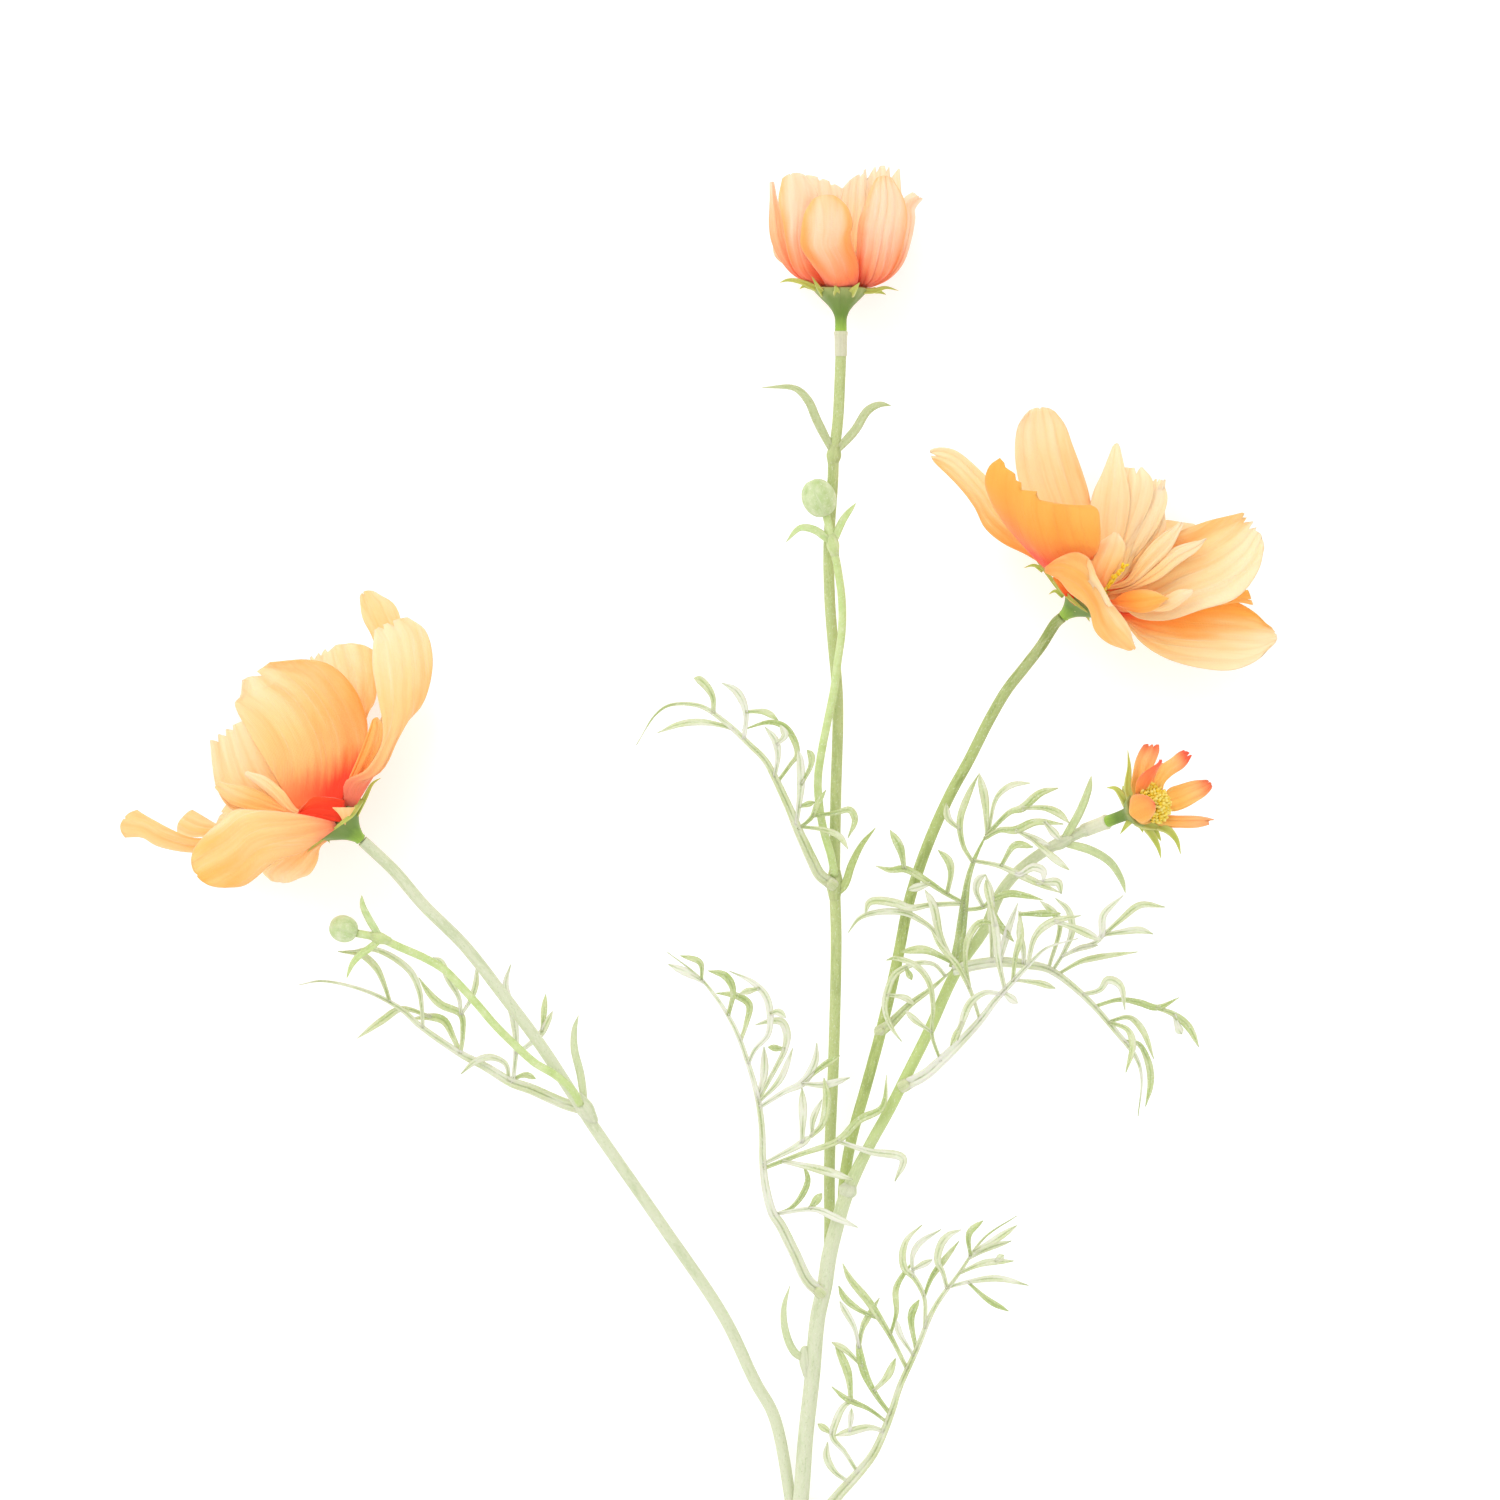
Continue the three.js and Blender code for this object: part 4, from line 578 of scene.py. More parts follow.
        [1, 28, -133.6, 25, -129, 23, -125, 22, -121, 21.6, -117],
        [1, 22, -120, 21, -116, 19, -112.4, 18, -110.6], [-1, 22, -120, 22.6, -116, 23.6, -114, 26, -110],
        [2, 25, -128.6, 27.6, -125.6, 29.2, -122],
        [1, 28, -135, 24, -132.4, 21, -131, 19, -130, 16.4, -127.8],
        [-3, 20.6, -130.6, 19.6, -125, 17, -119], [-3, 22.6, -124, 19, -120.4, 16.4, -119],
        [2, 27.2, -136.6, 24, -136, 20, -136.8, 17, -137.6],
        [2, 21.6, -145, 19, -141, 16.6, -138, 17.2, -135, 19, -131.6, 21.4, -130.6],
        [1, 19.6, -146.8, 17, -145, 15.4, -142, 15.6, -139], [2, 19.6, -136.4, 20.4, -132],
        [-2, 16.6, -137.4, 13.6, -135.4],
    ]),
}

# How large the cuff is at a leaf's foot, where it isn't of full size
LEAF_CUFFS = {"right_leaf": 0.7}


# Petals

PETAL_RULES = {"bow": 0.0, "crown": 0.5, "notches": (), "pleats": 3, "pleat": 0.2, "wave": 0.35,
               "inner_up": True, "depth": (0.3,), "blush": (0.0,), "shown": (0.0,)}
# The whole run of colours: its start, its end, and no shift towards an edge
WHOLE_RUN = (0.0, 1.0, 0.0)


def petal(left, right, heights, **extra):
    """A petal between its two edges in plan, from root to tip, with its heights on the way. The
    extras say how it bows and what its end is like, in millimetres. A notch has a place between
    the edges, a depth and the width over which it runs out, to the left if it is negative. depth
    is how deep its colour is: over all, towards its right edge, its root, its rim and its tip.
    blush is the red at its root: over all and towards its right edge. shown is the stretch of
    the run of colours that it shows: its start, its end, and a shift towards its right edge."""
    def raised(edge):
        edge = np.reshape(edge, (-1, 2))
        levels = sizes_along(heights, len(edge))
        nearness = (EYE_HEIGHT - levels) / (EYE_HEIGHT - VIEW_LEVEL)
        return np.column_stack([edge * nearness[:, None], levels])

    return {**PETAL_RULES, "left": raised(left), "right": raised(right), **extra}


def hidden_petal(bloom, tip, middle, half_width):
    """A petal that other petals hide, given by its middle line and its half width."""
    seat, axis, tip, middle = bloom["seat"], bloom["axis"], vector(tip), vector(middle)
    outward = middle - seat
    outward = unit(outward - axis * (outward @ axis))
    line = smooth_line([seat + outward * 0.75 * HUB_RADIUS, middle, tip], HIDDEN_PETAL_STEP)
    across, _ = frames_along(line, axis - 0.6 * outward)
    reach = across * half_width * sizes_along([0.25, 0.75, 1, 0.95, 0.7], len(line))[:, None]
    return {**PETAL_RULES, "left": line - reach, "right": line + reach, "crown": 1.5, "blush": (0.5,),
            "notches": [(-0.3, 0.8, 0.15), (0.3, 0.8, 0.15)]}


def edge_line(points, shares):
    """Places along the smooth curve through an edge's points, at shares of its length."""
    line = smooth_line(points, EDGE_STEP)
    walked = walked_along(line)
    return np.column_stack([np.interp(shares * walked[-1], walked, line[:, k]) for k in range(3)])


def petal_surface(rules, grid):
    """The petal's midsurface on a grid: s runs from root to tip, t from edge to edge."""
    rows, columns = grid
    shares = np.linspace(0, 1, rows + 1) ** 0.8
    s, t = np.meshgrid(shares, np.linspace(-1, 1, columns + 1), indexing="ij")
    left, right = edge_line(rules["left"], shares), edge_line(rules["right"], shares)
    middle, reach = (left + right) / 2, right - left
    half = np.linalg.norm(reach, axis=1) / 2
    along = unit(np.gradient(middle, axis=0))
    lift_way = unit(np.cross(unit(reach), along))

    opened = smoothstep(s, 0, 0.3)
    pleat_phase, wave_phase = random.uniform(0, 6), random.uniform(0, 6)
    spread = t * rules["pleats"] * math.pi + pleat_phase + 0.6 * np.sin(2.5 * s + pleat_phase)
    pleats = np.cos(spread) + 0.35 * np.cos(2.3 * spread + wave_phase)
    waves = np.abs(t) ** 3 * np.sin(7 * s + wave_phase + 2 * t) + 0.7 * np.sin(4 * t + wave_phase) * s**6
    lift = rules["bow"] * (1 - t**2) + rules["pleat"] * pleats * (1 - 0.4 * s) + rules["wave"] * waves
    stretch = rules["crown"] * (1 - np.abs(t) ** 2.4) * s**5
    surface = middle[:, None] + 0.5 * t[..., None] * reach[:, None]
    surface = surface + lift_way[:, None] * (opened * lift)[..., None] + along[:, None] * stretch[..., None]
    normal = np.cross(np.gradient(surface, axis=1), np.gradient(surface, axis=0))
    normal = unit(np.where(np.linalg.norm(normal, axis=-1, keepdims=True) > 1e-6, normal, lift_way[:, None]))
    for place, deep, width in rules["notches"]:
        past = (t - place) / width
        cut = deep * np.where(past >= 0, np.clip(1 - past, 0, 1), 0) * s**14
        surface = surface - along[:, None] * cut[..., None]
    return surface, normal, s, t, s * walked_along(middle)[-1], t * half[:, None], pleats


def total(amounts, *ways):
    """The sum of amounts, each spread over the petal in its own way."""
    return sum(amount * way for amount, way in zip(amounts, ways))


def add_petal(work, rules, grid):
    """A thin closed sheet about the petal's surface."""
    surface, normal, s, t, walked, sideways, pleats = petal_surface(rules, grid)
    thin = PETAL_THICKNESS * (0.5 - 0.2 * s[..., None])
    rows, wide = s.shape
    layer = rows * wide
    seed = random.uniform(0, 60)
    full = np.ones_like(s)
    depth = total(rules["depth"], full, t, 1 - s, np.abs(t) ** 3, s**3)
    blush = total(rules["blush"], full, t)
    given = rules["shown"]
    start, end, side = (*given, *WHOLE_RUN[len(given):])
    shown = start + (end - start) * s + side * t
    points, places, tones, forms = [], [], [], []
    for face in (1, -1):
        inside = float((face > 0) == rules["inner_up"])
        points.append(surface + normal * face * thin)
        places.append(np.stack([walked, sideways, full * (seed + 5 * face)], -1))
        tones.append(np.stack([shown, full * inside, depth], -1))
        # The pleats, signed for each face, tell the material where to paint shade in the pleats' valleys
        forms.append(np.stack([t, pleats * face, blush], -1))
    index = np.arange(layer).reshape(rows, wide)
    faces = []
    for row in range(rows - 1):
        for a, b, c, d in zip(index[row], index[row, 1:], index[row + 1, 1:], index[row + 1]):
            faces += [(a, b, c, d), (a + layer, d + layer, c + layer, b + layer)]
    edge = [*index[0, :-1], *index[:-1, -1], *index[-1, :0:-1], *index[:0:-1, 0]]
    faces += [(b, a, a + layer, b + layer) for a, b in zip(edge, edge[1:] + edge[:1])]
    work.add(points, faces, places, tones, forms)


def make_petals(bloom, name, petals, material, grid=PETAL_GRID, hub_blush=1.0):
    """The petals of a bloom, rooted in one flat hub."""
    work = Patchwork()
    hub = [(0, -HUB_DEPTH), (HUB_RADIUS, -HUB_DEPTH), (HUB_RADIUS + 0.2, 0), (HUB_RADIUS, HUB_DEPTH),
           (0, HUB_DEPTH)]
    turned(work, eased(hub), bloom["seat"], bloom["axis"], (0.1, 1, 0.6), form=(0, 0, hub_blush))
    for rules in petals:
        add_petal(work, rules, grid)
    work.make(name + "_petals", material)


# Calyxes and discs

def add_bract(work, route, half_width, up=UP):
    strap(work, smooth_line(route, BRACT_STEP), CALYX_BRACT_SIZES, half_width, 1, (0.75, 1, random.random()),
          up=up)


def make_calyx(bloom, name, material, straps, lengths=(4.4, 4.8, 4.2), lean=0):
    """The ribbed funnel, its neck, its bracts and, on the far side, a few more that are guessed."""
    work = Patchwork()
    axis, rim, neck, height = (bloom[key] for key in ("axis", "rim", "neck", "height"))
    funnel = height - neck
    profile = [(0, 0), (1.1, 0), (1.2, 0.3), (1.15, 0.5 * neck), (1.2, neck),
               (0.38 * rim, neck + 0.3 * funnel), (0.72 * rim, neck + 0.62 * funnel),
               (rim, height - 0.5), (rim, height), (0.8 * rim, height + 0.1), (0, height)]

    def ribs(angle, level):
        return 0.04 * math.cos(8 * angle) * smoothstep(level, neck, height)

    turned(work, eased(profile), bloom["foot"], axis, (0.15, 0, 0), ridges=ribs)
    centre = bloom["foot"] + axis * (height - 0.7)
    lean = math.radians(lean)
    for index, length in enumerate(lengths):
        outward = ring_direction(axis, 180 + 50 * (index - 1))
        way = outward * math.cos(lean) + axis * math.sin(lean)
        foot = centre + outward * (rim - 0.5) - axis * 0.1
        route = [foot - outward * 1.9 - axis * 1.5, foot, foot + way * 0.5 * length, foot + way * length]
        add_bract(work, route, 1.1, axis)
    for half_width, route in straps:
        add_bract(work, route, half_width)
    work.make(name + "_calyx", material)


FLORET_PROFILE = [(0, 0), (0.7, 0.05), (1, 0.45), (0.8, 0.85), (0.3, 1), (0, 1)]


def floret(work, root, along, radius, length, share):
    """A small blunt grain of the disc, with a tone of its own."""
    profile = [(r * radius, h * length) for r, h in eased(FLORET_PROFILE, 1)]
    turned(work, profile, root, along, (1, random.random(), share), sides=FLORET_SIDES)


def make_disc(bloom, name, material, count=64, radius=DISC_RADIUS, rise=2.0, foot_height=HUB_DEPTH,
              spires=()):
    """A dome closely set with blunt yellow grains on a sunflower spiral, and grains along spires."""
    work = Patchwork()
    axis = bloom["axis"]
    foot = bloom["seat"] + axis * foot_height
    dome = [(0, 0), (radius, 0), (radius, 0.4), (0.8 * radius, 0.6 * rise), (0, 0.85 * rise)]
    turned(work, eased(dome), foot, axis, (0, 0, 0))
    for index in range(count):
        share = math.sqrt((index + 0.5) / count)
        outward = ring_direction(axis, index * GOLDEN_ANGLE)
        root = foot + outward * 0.95 * radius * share + axis * (0.75 * rise * (1 - share**2))
        along = unit(axis + outward * 0.7 * share + outward * random.uniform(-0.12, 0.12))
        floret(work, root, along, 0.36 * random.uniform(0.8, 1.15), 1.4 * random.uniform(0.7, 1.2), share)
    for start, end, scatter, grains in spires:
        start, end = vector(start), vector(end)
        for index in range(grains):
            share = (index + 0.5) / grains
            root = start * (1 - share) + end * share + [random.uniform(-scatter, scatter) for _ in range(3)]
            along = unit(end - start + [random.uniform(-2, 2) for _ in range(3)])
            floret(work, root, along, 0.24 * random.uniform(0.8, 1.2), 0.9, share)
    work.make(name + "_disc", material)


# The petals of each bloom, the hidden ones last
RIGHT_PETALS = [
    # Long, to the left, with a split end
    petal([65.5, 30.5, 60, 36, 55.5, 39, 50.5, 41.5, 47, 44.5, 45, 48.5, 42, 52.5, 37, 57.5],
        [67, 32.5, 65, 36.5, 58.5, 43.5, 52, 49.5, 47.5, 54.5, 41, 60, 37.5, 60.5, 36, 60],
        [28, 27, 26, 26, 26], bow=-1.2, crown=0.3, notches=[(0.1, 1.6, 0.5)], pleats=4, depth=(0.3, -0.35),
        blush=(0.5,)),
    # Upright at the back
    petal([65.5, 31.5, 62.5, 36.5, 57.5, 45.5, 54, 53, 53, 59, 53.5, 64.5, 55, 67],
        [67.5, 32.5, 66.5, 37, 68.5, 43.5, 68, 50, 66.5, 55.5, 64.5, 61, 63, 65, 61, 67.5],
        [28, 25.5, 25, 26, 27], bow=-1.5, crown=1, notches=[(0, 0.3, 0.15)], pleats=5, pleat=0.14,
        depth=(0.2, 0.25, -0.35), shown=(0.3,)),
    # Near, seen from outside, with a toothed edge
    petal([65.5, 30.5, 59.5, 36, 55.5, 40, 50.5, 45.5, 48, 50, 47, 54, 48, 57, 50, 58.5],
        [68, 32, 65.5, 36.5, 68.5, 38.5, 70, 41.5, 70, 45, 69.5, 48, 68, 49],
        [29.5, 31, 39, 44, 46], bow=2.6, crown=-0.6,
        notches=[(-0.84, 0.7, 0.2), (-0.57, 1.3, 0.3), (-0.36, 1.9, 0.36), (-0.04, 2.5, 1.1)], pleats=2,
        pleat=0.08, inner_up=False, depth=(0.95, 0, 0.8), blush=(0.1,), shown=(-0.36, 1, 0.12)),
    # Cream, at the back of the group
    petal([68.5, 32.5, 66, 35.5, 67, 43, 68, 48.5, 69.5, 51],
        [71, 32.5, 75.5, 35.5, 81, 42.5, 83, 46.5, 82, 49.5],
        [29, 27, 25, 23], bow=-0.2, crown=1.5, pleats=5, pleat=0.1, wave=0.1, depth=(-0.1,), shown=(0.35,)),
    # Narrow and pointed, first of a group at the back
    petal([69, 33, 70.5, 37, 68, 45.5, 68.5, 51, 70.5, 55.5, 72.5, 60.5],
        [70, 32.5, 72.5, 37, 75, 43.5, 76, 50, 75, 56, 74, 60.5],
        [30, 28.3, 26, 23.4], bow=0.2, crown=0.8, pleats=2, pleat=0.12, wave=0.1, depth=(-0.05,),
        shown=(0.35,)),
    # Behind it
    petal([69.5, 33, 71, 37, 72, 45.5, 73, 51.5, 75, 56.5],
        [70.5, 32.5, 74, 37, 78, 44.5, 80.5, 50.5, 80.5, 54, 78.5, 56.5],
        [29.8, 28, 25.4, 22.8], bow=0.2, crown=-0.2, notches=[(0.1, 1.5, 0.6)], pleat=0.1, wave=0.1,
        depth=(0,), shown=(0.35,)),
    # Behind that, to the right
    petal([70, 32.5, 72.5, 37, 74.5, 43.5, 76, 49, 79, 54],
        [71, 32.5, 75.5, 37, 79.5, 41.5, 82.5, 46.5, 83.5, 50.5, 82.5, 54],
        [30, 28.4, 26.4, 23.4], bow=0.1, crown=0.2, notches=[(-0.2, 1.2, 0.3), (0.4, 0.8, 0.2)], pleat=0.1,
        wave=0.1, depth=(-0.1,), shown=(0.35,)),
    # Over them, a pale leaf-shaped one
    petal([70.5, 32.5, 73, 35.5, 73.5, 40.5, 75, 44.5, 78, 48.5, 82.5, 53.5],
        [71, 32, 75, 35, 77.5, 40, 80.5, 44.5, 82.5, 48.5, 83, 53.5],
        [31, 29.6, 27.2, 25, 23.9], bow=0.3, crown=0.6, notches=[(0, 0.3, 0.15)], pleat=0.1, wave=0.1,
        depth=(-0.05,), shown=(0.3,)),
    # Deeper, at the right of the group
    petal([70.5, 32.5, 75, 36, 78.5, 41, 81, 46, 82, 50],
        [71, 32, 76, 35.5, 80.5, 39.5, 83, 43.5, 83, 48],
        [30.5, 29, 27, 24], bow=0.1, crown=0.8, pleats=2, pleat=0.1, wave=0.1, shown=(0.2,)),
    # Broad, to the right, with a toothed end
    petal([70.5, 32, 73.5, 33, 77.5, 37, 82, 41.5, 86.5, 44, 92, 46, 98.5, 47.5],
        [70.5, 30.5, 73.5, 29.5, 77.5, 26.5, 83.5, 26, 90, 28, 96.5, 30, 99.5, 32.5, 102, 36.5, 103, 40.5],
        [30.5, 29.5, 28, 26, 24], bow=-2.2, crown=1.6,
        notches=[(-0.86, 1.2, 0.3), (-0.62, 1.8, 0.34), (-0.22, 2, 0.3), (0.1, 0.8, 0.3)], pleats=6,
        depth=(0, -0.6, 0, -0.25), shown=(0.1, 1, 0.3)),
    # Cream tongue on it
    petal([71.5, 31.5, 76, 33, 80.5, 37, 85, 40.5, 91, 42],
        [71.5, 31, 76, 32, 81.5, 34, 86, 37.5, 89.5, 40, 91, 42],
        [31.2, 30.6, 28.6, 27], bow=0.5, crown=0.2, pleats=2, depth=(-0.35,), shown=(0.2,)),
    # Narrow cream one with a ragged tip
    petal([71, 32.5, 75, 34, 78, 38.5, 81, 42, 86, 45.5],
        [71, 32, 76, 33, 80.5, 36.5, 84, 40, 86.5, 45],
        [31.2, 31, 29.6, 27], bow=0.5, crown=0.2, notches=[(-0.2, 0.9, 0.15)], pleats=2, depth=(-0.05,),
        shown=(0.15,)),
    # Orange tip that shows behind the broad one
    petal([71, 31, 80, 31.5, 88.5, 32, 94, 31.5, 99.5, 32],
        [71, 30.5, 80, 29.5, 88.5, 30, 93.5, 29, 97.5, 29.5, 100.5, 29],
        [28, 25, 22, 21, 20], crown=0.2, notches=[(0.2, 1, 0.15)], pleats=1, depth=(0.9,)),
    # Lower right
    petal([70.5, 30, 74.5, 27.5, 81, 28.5, 88.5, 29.5, 96, 30, 101, 27.5, 103.5, 25],
        [69.5, 29, 74.5, 26, 78.5, 21.5, 83, 18.5, 89.5, 16.5, 96.5, 16, 101.5, 18, 104, 20.5],
        [28.5, 26.5, 22, 20, 18], bow=-1.5, crown=2.6, notches=[(-0.3, 0.3, 0.2)], pleats=6, pleat=0.1,
        depth=(0.35, -0.7, 0.5, 0, -0.2), blush=(0.2,), shown=(0.06, 1, 0.15)),
    # The root of the folded front petal
    petal([65, 29, 62.5, 31.5, 60.5, 34.5],
        [68, 28, 69, 31, 68.5, 36],
        [33, 34.5, 36], bow=-0.6, pleats=2, depth=(1,), blush=(1,), shown=(0, 0.4)),
    # The folded front petal, seen from outside
    petal([59, 36.5, 62, 38.5, 65.5, 39.5, 68, 38, 69, 34.5, 71, 31, 75.5, 25, 76.5, 21.5],
        [59, 35.5, 62, 34, 64, 31.5, 67.5, 28.5, 69, 24, 71.5, 21.5, 75.5, 20],
        [38, 41, 41, 39, 36], bow=1.8, crown=0.2, notches=[(0.1, 0.8, 0.15)], pleats=2, pleat=0.15,
        inner_up=False, depth=(0.6, 0.1), shown=(0.4,)),
    # The pale inner side of its fold
    petal([67.5, 38, 67, 34.5, 68.5, 32.5, 67.5, 29.5],
        [68, 38, 69.5, 34.5, 72.5, 29],
        [41.5, 43, 42.5, 41], bow=0.2, crown=0.6,
        notches=[(-0.6, 1, 0.3), (-0.1, 1.2, 0.3), (0.4, 0.8, 0.3)], pleats=1, pleat=0.05, depth=(-0.3,),
        shown=(0.5,)),
    # Peach petaloid among the stamens
    petal([68, 33.5, 68.5, 37.5, 70, 41.5, 72, 43],
        [71, 32.5, 75, 40.5, 74, 43],
        [34, 36, 35], bow=0.6, crown=0.2, pleats=2, pleat=0.1, shown=(0.08,)),
    # Coral petaloid under the stamens
    petal([71, 30.5, 72.5, 30, 75, 31.5, 79, 32, 81.5, 31.5, 83, 30.5],
        [71, 30, 75.5, 28, 79, 27.5, 81.5, 28.5, 83, 30],
        [31.5, 32.5, 34, 33], bow=1, crown=0.1, pleats=2, pleat=0.1, depth=(0.85,), blush=(0.6,),
        shown=(0.06,)),
    # Pale loop beside it
    petal([73.5, 29.5, 78.5, 28.5, 85.5, 32, 88, 32],
        [73.5, 29, 79, 28, 84, 28, 87, 30, 88.5, 31.5],
        [30.6, 30.4, 31, 30], bow=0.7, crown=0.1, pleats=1, depth=(0.1,), blush=(0.4,)),
    hidden_petal(RIGHT, (92, 40, 2.6), (82, 38, 12), 9),
    hidden_petal(RIGHT, (52, 46, 5), (58, 41, 12.6), 9),
    hidden_petal(RIGHT, (85, 24, 2.6), (77, 27, 13), 5),
]

LEFT_PETALS = [
    # Long and curled, far to the left
    petal([-84.5, -14.5, -93.5, -18, -101.5, -20, -107, -20, -111, -20.5, -115.5, -20, -119, -19,
        -121.5, -17.5, -125, -17.5],
        [-85, -14, -93.5, -15.5, -101.5, -17, -107, -17.5, -111.5, -17.5, -115.5, -16, -121, -13,
        -122.5, -12],
        [25, 23, 22, 23, 24], bow=0.8, crown=2.2, notches=[(0.2, 0.5, 0.2)], pleats=2, depth=(0.5,)),
    # A short one beside it
    petal([-85, -14.5, -93.5, -17, -102.5, -18, -108.5, -17.5, -112, -17.5, -114.5, -16.5],
        [-85, -14, -93.5, -14.5, -102.5, -15, -106, -15, -111.5, -12],
        [24, 20, 17, 15, 14], bow=0.8, crown=0.8, pleats=2, depth=(0.45,)),
    # At the back, with a toothed end
    petal([-82.5, -11.5, -82, -8, -83.5, 0, -86.5, 10.5, -88, 18.5],
        [-81.5, -11.5, -79.5, -8, -78.5, -0.5, -76.5, 7.5, -75, 10, -74.5, 15.5, -75.5, 20],
        [23.5, 19, 13, 8], bow=-0.8, crown=2.6,
        notches=[(-0.9, 1.3, 0.3), (-0.7, 1.4, 0.3), (-0.42, 1.2, 0.3)], pleats=5, pleat=0.15,
        depth=(0.25, 0.2), blush=(0.3,)),
    # To the left, behind the large one
    petal([-85, -14.5, -90.5, -14, -96, -12.5, -103.5, -12, -106.5, -8, -107.5, -3.5, -108, 2],
        [-84, -13.5, -87, -13, -89.5, -12.5, -93.5, -7, -97, -0.5, -100.5, 6],
        [25.5, 23.5, 18, 15, 13], bow=-1.5, crown=0.8,
        notches=[(-0.62, 1.6, -0.36), (-0.2, 1.4, -0.36), (0.2, 1, -0.3)], pleats=4, pleat=0.15,
        depth=(-0.15, 0, 0.35), blush=(0.1,)),
    # A pink tongue in front of it
    petal([-85, -14, -91.5, -13, -99, -12, -104, -10.5, -107, -7.5],
        [-85, -13.5, -91, -12.5, -95, -10, -100, -7.5, -105, -6.5],
        [26.5, 25, 21, 18], bow=0.5, crown=0.3, pleat=0.12, inner_up=False, depth=(0.55,), blush=(0.7,)),
    # A pale tongue above it
    petal([-85, -13.5, -91.5, -12.5, -96, -9, -101, -5],
        [-84.5, -13, -90.5, -12, -93.5, -8, -96.5, -5.5, -100, -4.5],
        [27, 25.5, 22, 19], bow=0.4, crown=0.3, pleats=2, pleat=0.1, inner_up=False, depth=(0,),
        blush=(0.5,)),
    # The large one, seen from inside
    petal([-90.5, -12.5, -93.5, -8, -97, -2, -100, 3, -103, 9.5, -102, 10.5, -101.5, 14],
        [-82.5, -12, -80, -6.5, -77.5, -0.5, -76.5, 4.5, -77.5, 9, -80, 13.5, -84, 17, -88.5, 18,
        -96, 17.5],
        [25, 19, 17, 16], bow=-2.2, crown=0.3, notches=[(0, 1.4, -0.6)], wave=0.1, depth=(0.22, 0.45),
        blush=(0.8, 0.6), shown=(-0.08,)),
    # The red throat, in front of the disc
    petal([-81.5, -14.5, -85, -14, -90.5, -13],
        [-81, -10, -84, -9.5, -87.5, -9.5, -90, -12],
        [29, 29.3, 29, 28.4], bow=-0.3, crown=0.3, pleat=0.1, depth=(1.1,), blush=(1.1, -0.3),
        shown=(0, 0.1, 0.05)),
    # A pale tooth of the calyx before it
    petal([-81, -15, -82, -13, -83.5, -11.5],
        [-81, -14.5, -80, -13, -79, -11.5],
        [29.8, 30.7, 31.2], bow=0.3, crown=0.1, pleats=1, pleat=0.05, wave=0, depth=(0.55,), shown=(0.6,)),
    # The inside of the right one, where it folds
    petal([-81.5, -9, -80, -5.5, -78, -0.5, -75.5, 6],
        [-80.5, -9, -76.5, -3.5, -74, 1, -73.5, 5, -74.5, 6.5],
        [27, 28, 28], bow=0.4, crown=0.2, pleats=2, depth=(0.75,), blush=(0.45,), shown=(0.05,)),
    # A tip behind the right one
    petal([-80.5, -10, -76.5, -4.5, -73.5, 0.5, -72, 5, -73, 11, -74, 16.5, -75.5, 22.5, -77.5, 26.5,
        -78, 30.5],
        [-79.5, -10.5, -75.5, -5, -72, 0.5, -70.5, 5, -69, 10.5, -70, 16.5, -69.5, 24, -71, 29, -74, 31],
        [25, 26.5, 27, 26, 25], bow=0.8, crown=1.2, notches=[(-0.5, 0.8, 0.15)],
        depth=(0.4, 0, 0.2, 0, 0.1), shown=(0.3,)),
    # Right, near, seen from outside
    petal([-81, -11, -81, -6.5, -77, -4, -74, 1, -73.5, 5, -74.5, 11, -75.5, 17.5, -75, 24],
        [-79, -11.5, -75.5, -5.5, -72, 0, -70, 4.5, -66, 8.5, -64, 13.5, -63.5, 19, -65, 24, -68.5, 26.5],
        [28, 32, 35, 35], bow=2.2, crown=0.4, notches=[(-0.42, 1.3, -0.3), (0.12, 1.3, -0.3)], pleat=0.16,
        inner_up=False, depth=(0.2, 0.35, -0.1, 0, -0.15), blush=(0.7,)),
    # Below the front one
    petal([-83.5, -15, -84, -17.5, -86, -19.5, -86.5, -22, -88, -24.5, -90.5, -25.5],
        [-84.5, -15, -86, -17.5, -91, -20, -95, -22, -97.5, -24, -96, -25.5],
        [25, 24, 21, 19], bow=0.8, crown=0.8, pleats=2, inner_up=False, depth=(0.2,), blush=(0.1,)),
    # Front, near, seen from outside
    petal([-82.5, -15.5, -86, -18, -90, -20.5, -94.5, -22, -101, -27, -105, -27.5],
        [-83, -14.5, -87.5, -13.5, -93.5, -12.5, -99, -12, -103, -12, -106, -14.5, -108.5, -16.5,
        -111, -19.5],
        [29, 33, 35, 34], bow=2.4, crown=2.8, notches=[(0, 0.3, 0.15)], inner_up=False,
        depth=(0.42, -0.1, -0.5, -0.1, 0.35), blush=(0.05, -0.3)),
    hidden_petal(LEFT, (-89, 8, 2.4), (-86, -1, 9), 7),
    hidden_petal(LEFT, (-106, -14, 3.8), (-95, -14, 10), 9),
    hidden_petal(LEFT, (-69, 13, 5), (-76, -3, 13), 5),
]

